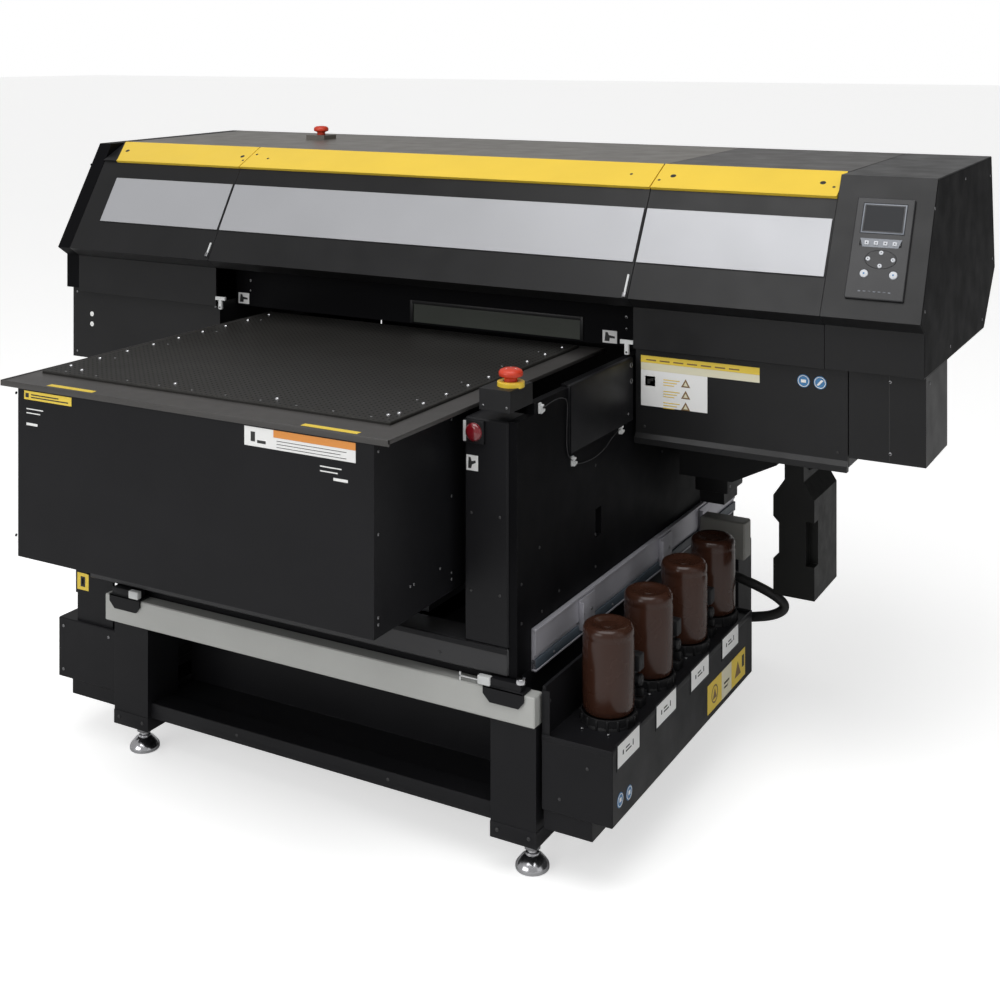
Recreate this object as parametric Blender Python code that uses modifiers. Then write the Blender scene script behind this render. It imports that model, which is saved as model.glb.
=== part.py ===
"""Flatbed UV printer: long gantry housing over a forward-sliding vacuum table, on a low steel stand.

Metres, +Z up, X along the gantry, +Y to the back. Positions below count from the floor at the centre of the
stand; at the end everything shifts so that the origin is on the floor under the middle of the whole printer.
"""

import math

import bmesh
import bpy
from mathutils import Vector

# ---- Driving dimensions, in metres ----
GAP = 0.0003                     # clearance between neighbouring pieces

STAND_HALF_DEPTH = 0.570         # front face of the front legs to the origin
LEG_SIDE = 0.092
LEG_X = 0.452                    # leg centre line
LEG_BOTTOM, STAND_TOP = 0.066, 0.336
RAIL_X = (-0.330, 0.150)         # table guide rails
FRONT_BEAM_BOTTOM = 0.281
FOOT_RADIUS = 0.031
FOOT_X, FOOT_Y = 0.463, 0.517

BODY_BOTTOM = 0.357              # underside of the table body on the stand
WALL_RIGHT_X, WALL_LEFT_X = 0.458, -0.586
REAR_PANEL_TOP = 0.850
DECK_FOOT_BOTTOM = 0.2795        # the deck's feet stand just above the legs
DECK_TOP = BODY_BOTTOM - GAP
SILL_TOP = 0.407
SIDE_RAIL_THICKNESS = 0.0085
SIDE_RAIL_Z = (0.352, 0.427)
WALL_THICKNESS = 0.016
WALL_TOP = 0.838

TABLE_TOP = 0.830
TABLE_FRONT, TABLE_BACK = -0.815, 0.040
TABLE_LEFT, TABLE_RIGHT = -0.563, 0.350
SKIRT_LEFT, SKIRT_RIGHT = -0.517, 0.319
SKIRT_BOTTOM = 0.486

SLOPE = math.radians(30)         # lean of the sloped front from the vertical
HOUSING_TOP = 1.225
SILVER_Z = (1.034, 1.140)        # lower and upper edge of the silver panels on the slope
STRIP_Z = 1.182                  # height of the yellow strip's lower edge
SEAM = 0.0008                    # half the gap between two covers
COLUMN_ESTOP = (0.434, -0.545, 0.8796)        # foot of the button on the column
TOP_ESTOP = (-0.680, 0.410, 1.2423)           # foot of the button on top of the housing
HOUSING_LEFT, HOUSING_RIGHT = -1.140, 1.060
COVER_LEFT, SEAM_LEFT, SEAM_RIGHT, COVER_RIGHT = -1.098, -0.641, 0.467, 0.870
SLOPE_TOP = (0.042, HOUSING_TOP)             # Y and Z of the upper front corner
LIP = (-0.108, 0.965)                        # Y and Z of the foremost line of the lip
BAND = (-0.076, 0.943)                       # where the chamfer under the lip meets the band
BAND_BOTTOM = 0.858
LOWER_FRONT = -0.062                         # front face of the boxes under the band
HOUSING_BACK_TOP = (0.594, 1.233)
HOUSING_BACK_LOW = (0.634, 0.976)
HOUSING_BACK_FOOT = (0.504, 0.858)

# The stand's centre to the middle of the whole printer, where the origin is.
ORIGIN_SHIFT = Vector((0.040, 0.0905, 0.0))

BOTTLE_X = 0.578
BOTTLE_Y = (-0.440, -0.256, -0.072, 0.093)
SOCKET_RADIUS = 0.0500
BOTTLE_RADIUS = 0.047
BOTTLE_BOTTOM, BOTTLE_TOP = 0.274, 0.438
TRAY_FRONT, TRAY_BACK = -0.562, 0.160
TRAY_LEFT, TRAY_RIGHT = 0.504, 0.642
TRAY_BOTTOM, TRAY_TOP = 0.135, 0.262
HOSE_Y = 0.200
HOSE_PATH = (                    # X and Z along the waste hose, a hairpin beside the tray
    (0.5140, 0.328), (0.605, 0.318), (0.685, 0.292), (0.700, 0.272), (0.685, 0.256), (0.605, 0.226), (0.5140, 0.222),
)

# ---- Scene, collections and materials ----
for old in list(bpy.data.objects):
    bpy.data.objects.remove(old, do_unlink=True)

parts = bpy.data.collections.new("flatbed_uv_printer")
cutters = bpy.data.collections.new("cutters")
bpy.context.scene.collection.children.link(parts)
bpy.context.scene.collection.children.link(cutters)
cutters.hide_render = True


def material(name, colour, roughness, metallic=0.0):
    made = bpy.data.materials.new(name)
    made.use_nodes = True
    shader = made.node_tree.nodes["Principled BSDF"]
    shader.inputs["Base Color"].default_value = (*colour, 1.0)
    shader.inputs["Roughness"].default_value = roughness
    shader.inputs["Metallic"].default_value = metallic
    made.diffuse_color = (*colour, 1.0)
    return made


BLACK = material("black_paint", (0.018, 0.018, 0.020), 0.45)
DARK = material("dark_paint", (0.035, 0.035, 0.038), 0.50)
GREY = material("grey_paint", (0.55, 0.56, 0.54), 0.45)
ALUMINIUM = material("aluminium", (0.60, 0.62, 0.64), 0.35, 1.0)
STEEL = material("steel", (0.45, 0.45, 0.46), 0.30, 1.0)
CHROME = material("chrome", (0.80, 0.80, 0.80), 0.10, 1.0)
YELLOW = material("yellow_paint", (0.90, 0.58, 0.01), 0.35)
SILVER = material("silver_panel", (0.62, 0.63, 0.65), 0.35, 0.3)
RED = material("red_plastic", (0.65, 0.04, 0.01), 0.35)
BED = material("bed_anodised", (0.10, 0.09, 0.085), 0.40, 0.6)
WINDOW = material("tinted_window", (0.22, 0.25, 0.22), 0.20)
AMBER = material("bottle_brown", (0.12, 0.045, 0.025), 0.30)
PLASTIC = material("black_plastic", (0.022, 0.022, 0.024), 0.55)
BEZEL = material("bezel_grey", (0.16, 0.16, 0.17), 0.45)
SCREEN = material("screen", (0.03, 0.035, 0.04), 0.15)
KEY = material("key_white", (0.75, 0.76, 0.78), 0.50)
BEIGE = material("beige_box", (0.50, 0.49, 0.45), 0.55)


# ---- Shape helpers ----
def add(name, data, surface):
    made = bpy.data.objects.new(name, data)
    parts.objects.link(made)
    if surface is not None:
        data.materials.append(surface)
    return made


def as_cutter(made):
    parts.objects.unlink(made)
    cutters.objects.link(made)
    made.hide_render = True
    made.display_type = "WIRE"
    return made


def box(name, surface, xs, ys, zs, edge=0.0):
    """A box between two X, two Y and two Z values, with an optional chamfer on its edges."""
    mesh = bpy.data.meshes.new(name)
    shape = bmesh.new()
    bmesh.ops.create_cube(shape, size=1.0)
    size = Vector((xs[1] - xs[0], ys[1] - ys[0], zs[1] - zs[0]))
    bmesh.ops.scale(shape, vec=size, verts=shape.verts)
    shape.to_mesh(mesh)
    shape.free()
    made = add(name, mesh, surface)
    made.location = ((xs[0] + xs[1]) / 2, (ys[0] + ys[1]) / 2, (zs[0] + zs[1]) / 2)
    if edge:
        bevel(made, edge)
    return made


def bevel(made, width):
    chamfer = made.modifiers.new("edge", "BEVEL")
    chamfer.width = width
    chamfer.segments = 1
    chamfer.limit_method = "ANGLE"
    chamfer.angle_limit = math.radians(30)


def cylinder(name, surface, radius, length, centre, axis="Z", sides=24):
    """A cylinder about its centre."""
    mesh = bpy.data.meshes.new(name)
    shape = bmesh.new()
    bmesh.ops.create_cone(
        shape,
        cap_ends=True,
        segments=sides,
        radius1=radius,
        radius2=radius,
        depth=length,
    )
    shape.to_mesh(mesh)
    shape.free()
    made = add(name, mesh, surface)
    made.location = centre
    if axis == "X":
        made.rotation_euler = (0.0, math.pi / 2, 0.0)
    if axis == "Y":
        made.rotation_euler = (-math.pi / 2, 0.0, 0.0)
    return made


def turned(name, surface, profile, centre, steps=24):
    """A solid of revolution about Z: the profile lists (radius, height) from top to bottom."""
    mesh = bpy.data.meshes.new(name)
    points = [(radius, 0.0, height) for radius, height in profile]
    mesh.from_pydata(points, [(i, i + 1) for i in range(len(points) - 1)], [])
    made = add(name, mesh, surface)
    made.location = centre
    screw = made.modifiers.new("turn", "SCREW")
    screw.steps = steps
    screw.render_steps = steps
    screw.use_merge_vertices = True
    screw.merge_threshold = 0.0001
    return made


def outline(name, surface, loops, depth, centre, rotation):
    """A flat plate cut from closed outlines: the first is the edge and the others are openings."""
    curve = bpy.data.curves.new(name, "CURVE")
    curve.dimensions = "2D"
    curve.fill_mode = "BOTH"
    curve.extrude = depth / 2
    for loop in loops:
        spline = curve.splines.new("POLY")
        spline.points.add(len(loop) - 1)
        for point, (u, v) in zip(spline.points, loop):
            point.co = (u, v, 0.0, 1.0)
        spline.use_cyclic_u = True
    made = add(name, curve, surface)
    made.location = centre
    made.rotation_euler = rotation
    return made


def along_x(name, surface, profile, x0, x1):
    """A profile of (Y, Z) points extruded between two X values."""
    rotation = (math.pi / 2, 0.0, math.pi / 2)
    return outline(name, surface, [profile], x1 - x0, ((x0 + x1) / 2, 0.0, 0.0), rotation)


def tube(name, surface, points, radius):
    """A round rod or hose through the given points."""
    curve = bpy.data.curves.new(name, "CURVE")
    curve.dimensions = "3D"
    curve.bevel_depth = radius
    curve.bevel_resolution = 2
    curve.use_fill_caps = True
    spline = curve.splines.new("POLY")
    spline.points.add(len(points) - 1)
    for point, place in zip(spline.points, points):
        point.co = (*place, 1.0)
    return add(name, curve, surface)


def solid_mesh(made):
    """The same object with its curve turned into a welded mesh, so that a Boolean takes it."""
    graph = bpy.context.evaluated_depsgraph_get()
    mesh = bpy.data.meshes.new_from_object(made.evaluated_get(graph), depsgraph=graph)
    shape = bmesh.new()
    shape.from_mesh(mesh)
    bmesh.ops.remove_doubles(shape, verts=shape.verts, dist=0.00001)
    shape.to_mesh(mesh)
    shape.free()
    name = made.name
    place = made.matrix_world.copy()
    bpy.data.objects.remove(made, do_unlink=True)
    mesh.name = name
    swapped = bpy.data.objects.new(name, mesh)
    parts.objects.link(swapped)
    swapped.matrix_world = place
    return swapped


def boolean(made, others, operation):
    for other in others:
        step = made.modifiers.new(operation.lower(), "BOOLEAN")
        step.operation = operation
        step.solver = "EXACT"
        step.object = as_cutter(other)
    return made


def joined(made, *others):
    return boolean(made, others, "UNION")


def cut(made, *others):
    return boolean(made, others, "DIFFERENCE")


def slope_y(z):
    """Y of the sloped front at a height."""
    return SLOPE_TOP[0] + (z - SLOPE_TOP[1]) * math.tan(SLOPE)


def on_slope(made, x, z, rise):
    """Puts a piece on the sloped front: its own Z points out of the slope, rise is its centre above it."""
    outward = Vector((0.0, -math.cos(SLOPE), math.sin(SLOPE)))
    made.location = Vector((x, slope_y(z), z)) + outward * rise
    made.rotation_euler = (math.pi / 2 - SLOPE, 0.0, 0.0)
    return made


def slope_box(name, surface, xs, zs, low, high, edge=0.0):
    """A plate lying on the slope between two X values and two heights, low to high above it."""
    length = (zs[1] - zs[0]) / math.cos(SLOPE)
    width = xs[1] - xs[0]
    made = box(name, surface, (0, width), (0, length), (0, high - low), edge)
    return on_slope(made, (xs[0] + xs[1]) / 2, (zs[0] + zs[1]) / 2, (low + high) / 2)


# ---- Stand ----
def build_stand():
    front = -STAND_HALF_DEPTH
    leg_half = LEG_SIDE / 2
    legs = []
    for side in (-1, 1):
        for end in (-1, 1):
            x = side * LEG_X
            y = end * (STAND_HALF_DEPTH - leg_half)
            name = f"leg_{side}_{end}"
            legs.append(
                box(name, BLACK, (x - leg_half, x + leg_half), (y - leg_half, y + leg_half), (LEG_BOTTOM, 0.279))
            )
    rails = []
    between_legs = (front + 0.05, -front - 0.05)
    for x in (-LEG_X, LEG_X):
        rails.append(box("side_beam", BLACK, (x - 0.03, x + 0.03), between_legs, (0.200, 0.278)))
        rails.append(box("side_stretcher", BLACK, (x - 0.025, x + 0.025), between_legs, (0.094, 0.124)))
    for y in (front + 0.035, -front - 0.035):
        rails.append(box("cross_beam", BLACK, (-LEG_X, LEG_X), (y - 0.025, y + 0.025), (0.092, 0.123)))
    rails.append(box("rear_beam", BLACK, (-LEG_X, LEG_X), (-front - 0.09, -front - 0.02), (0.200, 0.277)))
    rails.append(box("lower_panel", DARK, (-0.420, 0.420), (-0.420, -0.410), (0.110, 0.230)))
    rails.append(box("panel_foot", DARK, (-0.420, 0.420), (-0.550, -0.410), (0.100, 0.118)))
    joined(legs[0], *legs[1:], *rails).name = "stand_frame"

    beam_depth = (front - 0.008, front + 0.024)
    box("front_beam", GREY, (-0.517, 0.499), beam_depth, (FRONT_BEAM_BOTTOM, STAND_TOP), 0.002)
    for side, name in ((-1, "left"), (1, "right")):
        for end, place in ((-1, "front"), (1, "rear")):
            profile = (
                (0.0, LEG_BOTTOM - GAP),
                (0.009, LEG_BOTTOM - GAP),
                (0.009, 0.030),
                (0.016, 0.026),
                (0.030, 0.014),
                (FOOT_RADIUS, 0.006),
                (FOOT_RADIUS, 0.0),
                (0.0, 0.0),
            )
            centre = (side * FOOT_X, end * FOOT_Y, 0.0)
            turned(f"levelling_foot_{place}_{name}", CHROME, profile, centre)


def build_body():
    front = -STAND_HALF_DEPTH
    inside = WALL_RIGHT_X - WALL_THICKNESS
    deck_edges = (WALL_LEFT_X + WALL_THICKNESS + GAP, WALL_RIGHT_X - WALL_THICKNESS - GAP)
    deck_depth = (-0.500, 0.555)
    foot_z = (DECK_FOOT_BOTTOM, DECK_TOP)
    deck = box("body_deck", BLACK, (-0.500, 0.440), (-0.500, 0.560), (0.337, DECK_TOP))
    rails = []
    for x in RAIL_X:
        rail = box("table_rail", STEEL, (x - 0.015, x + 0.015), (-0.490, 0.530), (0.350, 0.385))
        cut(
            rail,
            box("groove_a", None, (x - 0.018, x - 0.011), (-0.60, 0.60), (0.366, 0.374)),
            box("groove_b", None, (x + 0.011, x + 0.018), (-0.60, 0.60), (0.366, 0.374)),
        )
        rails.append(rail)
    joined(
        deck,
        box("deck_apron", BLACK, (-0.515, WALL_RIGHT_X), (front + 0.0255, -0.490), foot_z),
        box("deck_foot_left", BLACK, (-0.480, -0.440), deck_depth, (DECK_FOOT_BOTTOM, 0.340)),
        box("deck_wing_left", BLACK, (WALL_LEFT_X, -0.490), deck_depth, (0.337, DECK_TOP)),
        box("deck_foot_right", BLACK, (0.400, WALL_RIGHT_X), deck_depth, foot_z),
        box("body_rear_panel", BLACK, deck_edges, (0.544, 0.556), (0.345, REAR_PANEL_TOP)),
        box("table_drive_motor", PLASTIC, (-0.125, -0.055), (0.4705, 0.546), (0.350, 0.400)),
        *rails,
    )
    box("front_sill", BLACK, (deck_edges[0], inside - GAP), (front, -0.502), (BODY_BOTTOM, SILL_TOP), 0.003)
    for name, x, outward in (("right", WALL_RIGHT_X, 1), ("left", WALL_LEFT_X, -1)):
        near = x + outward * GAP
        face = x + outward * SIDE_RAIL_THICKNESS
        width = (min(near, face), max(near, face))
        beam = box(f"side_rail_{name}", ALUMINIUM, width, (-0.512, 0.540), SIDE_RAIL_Z)
        slot = box("rail_slot", None, (face - 0.003, face + 0.003), (-0.60, 0.60), (0.372, 0.380))
        cut(beam, slot)

    wall_outline = [
        (-0.566, BODY_BOTTOM), (0.540, BODY_BOTTOM), (0.540, WALL_TOP), (-0.360, WALL_TOP),
        (-0.360, 0.833), (-0.500, 0.833), (-0.500, 0.812), (-0.566, 0.812),
    ]
    slot = [(-0.240, 0.512), (-0.212, 0.512), (-0.212, 0.568), (-0.240, 0.568)]
    centre = ((inside + WALL_RIGHT_X) / 2, 0.0, 0.0)
    turn = (math.pi / 2, 0.0, math.pi / 2)
    wall = solid_mesh(outline("side_wall_right", BLACK, [wall_outline, slot], WALL_THICKNESS, centre, turn))
    cover_width = (WALL_RIGHT_X - 0.004, WALL_RIGHT_X + 0.006)
    joined(wall, box("wall_cover", BLACK, cover_width, (-0.362, -0.068), (0.706, 0.836)))
    left_outline = [(-0.560, BODY_BOTTOM), (0.540, BODY_BOTTOM), (0.540, 0.790), (-0.560, 0.790)]
    centre = (WALL_LEFT_X + WALL_THICKNESS / 2, 0.0, 0.0)
    outline("side_wall_left", BLACK, [left_outline], WALL_THICKNESS, centre, turn)

    box("column", BLACK, (0.352, inside - GAP), (front, -0.498), (SILL_TOP + GAP, 0.812), 0.003)
    button_radius = 0.0220
    x, y, z = COLUMN_ESTOP
    housing = box("column_estop_housing", PLASTIC, (0.393, 0.456), (-0.588, -0.503), (0.8335, 0.872))
    joined(housing, cylinder("estop_collar", YELLOW, 0.0245, 0.010, (x, y, z - 0.0053)))
    cut(housing, estop_well(COLUMN_ESTOP, button_radius))
    build_estop("column_estop_button", COLUMN_ESTOP, button_radius)
    cylinder("indicator_lens", RED, 0.021, 0.014, (0.374, front - 0.0073, 0.788), axis="Y", sides=20)


def estop_well(centre, radius):
    """The opening that the stem of an emergency stop travels in."""
    x, y, z = centre
    return cylinder("estop_well", None, radius * 0.55 + 0.0006, 0.020, (x, y, z + 0.0035), sides=20)


def build_estop(name, centre, radius):
    profile = (
        (0.0, 0.024),
        (radius * 0.6, 0.0235),
        (radius, 0.017),
        (radius, 0.010),
        (radius * 0.55, 0.006),
        (radius * 0.55, 0.0),
        (0.0, 0.0),
    )
    return turned(name, RED, profile, centre, 20)


# ---- Table ----
def build_table():
    cylinder("table_drive_screw", STEEL, 0.010, 0.940, (-0.090, 0.0, 0.380), axis="Y", sides=16)

    base = box("table_carriage", ALUMINIUM, (-0.400, 0.220), (-0.480, -0.020), (0.402, 0.424))
    feet = [
        box(f"carriage_block_{i}", ALUMINIUM, (x - 0.030, x + 0.030), (y - 0.045, y + 0.045), (0.3855, 0.404))
        for i, (x, y) in enumerate((x, y) for x in RAIL_X for y in (-0.420, -0.080))
    ]
    joined(base, *feet)
    posts = [(x, y) for x in (-0.250, 0.070) for y in (-0.400, -0.110)]
    cut(base, *[cylinder(f"post_hole_{i}", None, 0.020, 0.060, (x, y, 0.413), sides=16)
                for i, (x, y) in enumerate(posts)])
    frame = box("table_lift_frame", STEEL, (-0.480, 0.290), (-0.790, 0.020), (0.8060, 0.8180))
    joined(frame, *[cylinder(f"post_{i}", STEEL, 0.016, 0.375, (x, y, 0.6225), sides=16)
                    for i, (x, y) in enumerate(posts)])

    # The flange is a shallow rim round the bed plate.
    edge = [
        (TABLE_LEFT, TABLE_FRONT), (TABLE_RIGHT, TABLE_FRONT), (TABLE_RIGHT, TABLE_BACK), (TABLE_LEFT, TABLE_BACK),
    ]
    opening = [(-0.541, -0.730), (0.297, -0.730), (0.297, 0.018), (-0.541, 0.018)]
    thickness = 0.006
    outline("table_flange", DARK, [edge, opening], thickness, (0, 0, TABLE_TOP - 0.0085), (0, 0, 0))
    box("bed_plate", BED, (-0.5405, 0.2965), (-0.7295, 0.0175), (0.8190, TABLE_TOP), 0.0015)

    sheet = 0.003
    skirt = box("front_skirt_box", BLACK, (SKIRT_LEFT, SKIRT_RIGHT), (-0.813, -0.500), (SKIRT_BOTTOM, 0.8180))
    inner_x = (SKIRT_LEFT + sheet, SKIRT_RIGHT - sheet)
    cut(skirt, box("skirt_hollow", None, inner_x, (-0.810, -0.450), (SKIRT_BOTTOM + sheet, 0.830)))
    knob_centre = (SKIRT_LEFT - 0.009, -0.770, 0.750)
    joined(skirt, cylinder("skirt_knob", PLASTIC, 0.011, 0.020, knob_centre, axis="X", sides=16))


# ---- Gantry housing ----
def build_covers():
    low = slope_y(STRIP_Z)
    sections = (
        ("left", COVER_LEFT, SEAM_LEFT - SEAM),
        ("centre", SEAM_LEFT + SEAM, SEAM_RIGHT - SEAM),
        ("right", SEAM_RIGHT + SEAM, COVER_RIGHT - SEAM),
    )
    depth = 0.004
    inner = depth / math.cos(SLOPE)
    for name, x0, x1 in sections:
        profile = [
            (0.096, 1.2222), (low, 1.1805), LIP, BAND,
            (BAND[0], BAND[1] + 0.005), (LIP[0] + inner, LIP[1] + 0.002), (low + inner, 1.1770), (0.096, 1.2180),
        ]
        cover = solid_mesh(along_x(f"front_cover_{name}", BLACK, profile, x0, x1))
        strip_profile = [
            (0.094, 1.2275), (low - 0.001, 1.1865), (low - 0.0060, 1.1840), (low + 0.0010, 1.1790), (0.094, 1.2190),
        ]
        strip = solid_mesh(along_x("yellow_strip", YELLOW, strip_profile, x0 + 0.001, x1 - 0.001))
        left = -1.030 if name == "left" else x0 + 0.003
        right = x1 - 0.003
        panel = slope_box("silver_panel", SILVER, (left, right), SILVER_Z, -0.0020, 0.0020)
        joined(cover, strip, panel)


def build_housing():
    cheek_profile = [
        SLOPE_TOP, LIP, BAND, (BAND[0], BAND_BOTTOM), HOUSING_BACK_FOOT, HOUSING_BACK_LOW, HOUSING_BACK_TOP,
    ]
    along_x("end_cheek_left", BLACK, cheek_profile, HOUSING_LEFT, COVER_LEFT - 0.001)
    unit = solid_mesh(along_x("end_unit_right", BLACK, cheek_profile, COVER_RIGHT, HOUSING_RIGHT))
    hollow_profile = [
        (0.080, 1.205), (-0.020, 1.020), (-0.020, 0.850), (0.500, 0.850), (0.600, 0.980), (0.570, 1.210),
    ]
    hollow = solid_mesh(along_x("unit_hollow", None, hollow_profile, COVER_RIGHT - 0.010, HOUSING_RIGHT - 0.030))
    cut(unit, hollow)

    top = [(0.106, 1.2205), (0.106, 1.2265), (0.582, 1.2330), (0.582, 1.2270)]
    plate = solid_mesh(along_x("top_plate", DARK, top, COVER_LEFT, 0.466))
    button_radius = 0.020
    x, y, z = TOP_ESTOP
    foot = box("top_estop_housing", PLASTIC, (x - 0.030, x + 0.030), (y - 0.028, y + 0.028), (1.2300, z - GAP))
    joined(plate, foot)
    cut(plate, estop_well(TOP_ESTOP, button_radius))
    along_x("top_plate_right", DARK, top, 0.4675, COVER_RIGHT - 0.001)
    rear = [
        (0.5835, 1.2330), (0.5925, 1.2330), (0.6320, 0.9770), (0.5025, 0.8590), (0.5025, 0.8660), (0.6250, 0.9780),
    ]
    along_x("rear_cover", DARK, rear, COVER_LEFT, COVER_RIGHT - 0.001)
    build_estop("top_estop_button", TOP_ESTOP, button_radius)

    wall_edge = [(SEAM_LEFT, 0.842), (0.4655, 0.842), (0.4655, 0.990), (SEAM_LEFT, 0.990)]
    window = [(-0.122, 0.846), (0.311, 0.846), (0.311, 0.891), (-0.122, 0.891)]
    outline("recess_wall", BLACK, [wall_edge, window], 0.005, (0.0, 0.0025, 0.0), (math.pi / 2, 0.0, 0.0))
    box("viewing_window", WINDOW, (-0.1217, 0.3107), (0.0005, 0.0045), (0.8463, 0.8907))


def build_lower_boxes():
    band_depth = (BAND[0], BAND[0] + 0.004)
    left = box("lower_box_left", BLACK, (-1.132, SEAM_LEFT), (LOWER_FRONT, 0.400), (0.676, 0.8575))
    cut(left, box("left_hollow", None, (-1.129, SEAM_LEFT - 0.003), (LOWER_FRONT + 0.003, 0.397), (0.679, 0.900)))
    joined(
        left,
        box("band_left", BLACK, (COVER_LEFT, SEAM_LEFT - 0.001), band_depth, (0.8500, 0.9425)),
        box("band_left_tie", BLACK, (COVER_LEFT, SEAM_LEFT - 0.001), (BAND[0] + 0.001, -0.060), (0.8510, 0.8560)),
    )
    right = box("lower_box_right", BLACK, (0.466, 0.912), (LOWER_FRONT + 0.0065, 0.400), (0.668, 0.8575))
    cut(right, box("right_hollow", None, (0.469, 0.909), (LOWER_FRONT + 0.0095, 0.397), (0.671, 0.900)))
    joined(
        right,
        box("band_right", BLACK, (SEAM_RIGHT, COVER_RIGHT - 0.001), band_depth, (0.8570, 0.9425)),
        box("band_right_tie", BLACK, (SEAM_RIGHT, COVER_RIGHT - 0.001), (BAND[0] + 0.001, -0.0545), (0.8565, 0.8620)),
        box("tank_neck_seat", PLASTIC, (0.740, 0.812), (0.020, 0.140), (0.6405, 0.6700)),
    )
    cover = [
        (LOWER_FRONT + 0.006, 0.8560), (LOWER_FRONT, 0.8560), (LOWER_FRONT, 0.681), (LOWER_FRONT - 0.008, 0.672),
        (LOWER_FRONT - 0.008, 0.660), (LOWER_FRONT + 0.006, 0.660),
    ]
    along_x("maintenance_cover", BLACK, cover, 0.4665, 0.9115)
    far = box("lower_box_far_right", BLACK, (0.9135, HOUSING_RIGHT), (LOWER_FRONT, 0.124), (0.688, 0.8575))
    cut(far, box("far_hollow", None, (0.9165, HOUSING_RIGHT - 0.003), (LOWER_FRONT + 0.003, 0.121), (0.691, 0.900)))


def build_mechanism():
    """The pieces inside the housing."""
    beam = box("gantry_beam", ALUMINIUM, (COVER_LEFT + 0.002, 0.866), (0.400, 0.480), (0.930, 1.060))
    cut(beam, box("beam_hollow", None, (COVER_LEFT - 0.010, 0.880), (0.410, 0.470), (0.940, 1.050)))
    joined(
        beam,
        box("support_left", STEEL, (-0.940, -0.820), (0.405, 0.475), (0.860, 0.935)),
        box("support_right", STEEL, (0.630, 0.750), (0.405, 0.475), (0.860, 0.935)),
        box("carriage_rail", STEEL, (-1.050, 0.830), (0.384, 0.402), (1.030, 1.052)),
        box("carriage_motor", PLASTIC, (0.790, 0.850), (0.3985, 0.470), (1.055, 1.130)),
    )
    body = box("print_carriage", PLASTIC, (0.560, 0.780), (0.090, 0.362), (0.866, 1.050), 0.004)
    joined(body, box("carriage_shoe", PLASTIC, (0.600, 0.740), (0.350, 0.3835), (0.980, 1.050)))
    for name, x0, x1 in (("left", 0.488, 0.5595), ("right", 0.7805, 0.852)):
        box(f"uv_lamp_{name}", ALUMINIUM, (x0, x1), (0.120, 0.330), (0.868, 0.990), 0.003)
    cylinder("belt_pulley", STEEL, 0.020, 0.014, (0.820, 0.3900, 1.100), axis="Y", sides=20)
    loop = rounded_loop(-1.040, 0.820, 0.0235)
    hole = rounded_loop(-1.040, 0.820, 0.0205)
    outline("drive_belt", PLASTIC, [loop, hole], 0.010, (0.0, 0.3900, 1.100), (math.pi / 2, 0.0, 0.0))
    box("capping_station", PLASTIC, (0.600, 0.800), (0.110, 0.330), (0.672, 0.845), 0.003)


def rounded_loop(left, right, radius, steps=8):
    points = []
    for i in range(steps + 1):
        angle = -math.pi / 2 + math.pi * i / steps
        points.append((right + radius * math.cos(angle), radius * math.sin(angle)))
    for i in range(steps + 1):
        angle = math.pi / 2 + math.pi * i / steps
        points.append((left + radius * math.cos(angle), radius * math.sin(angle)))
    return points


# ---- Operation panel ----
def build_panel():
    bezel = slope_box("panel_bezel", BEZEL, (0.912, 1.024), (1.000, 1.182), 0.0003, 0.0060, 0.0015)
    pocket = slope_box("screen_pocket", None, (0.925, 1.011), (1.116, 1.172), 0.0045, 0.0200)
    cut(bezel, pocket)
    slope_box("panel_screen", SCREEN, (0.9255, 1.0105), (1.1165, 1.1715), 0.0048, 0.0056)
    well_margin = 0.0004
    well_rise = 0.0080
    key_rise = 0.0060
    key_height = 0.0034
    pad_radius = 0.019
    pad_stretch = (0.030 / pad_radius, 1.0, 1.0)
    pad_x, pad_z = 0.972, 1.0705
    round_z = 1.044
    round_radius = 0.0085
    slope_box("function_key_bar", KEY, (0.928, 1.008), (1.094, 1.104), 0.0043, 0.0077)
    wells = [slope_box("bar_well", None, (0.9276, 1.0084), (1.0936, 1.1044), 0.0030, 0.0130)]
    pad = cylinder("arrow_key_pad", KEY, pad_radius, key_height, (0, 0, 0))
    on_slope(pad, pad_x, pad_z, key_rise)
    pad.scale = pad_stretch
    wells.append(cylinder("pad_well", None, pad_radius + well_margin, 0.010, (0, 0, 0)))
    on_slope(wells[-1], pad_x, pad_z, well_rise)
    wells[-1].scale = pad_stretch
    for i, x in enumerate((0.944, 1.000)):
        key = cylinder(f"round_key_{i + 1}", KEY, round_radius, key_height, (0, 0, 0), sides=16)
        on_slope(key, x, round_z, key_rise)
        wells.append(cylinder("key_well", None, round_radius + well_margin, 0.010, (0, 0, 0), sides=16))
        on_slope(wells[-1], x, round_z, well_rise)
    cut(bezel, *wells)


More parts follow.
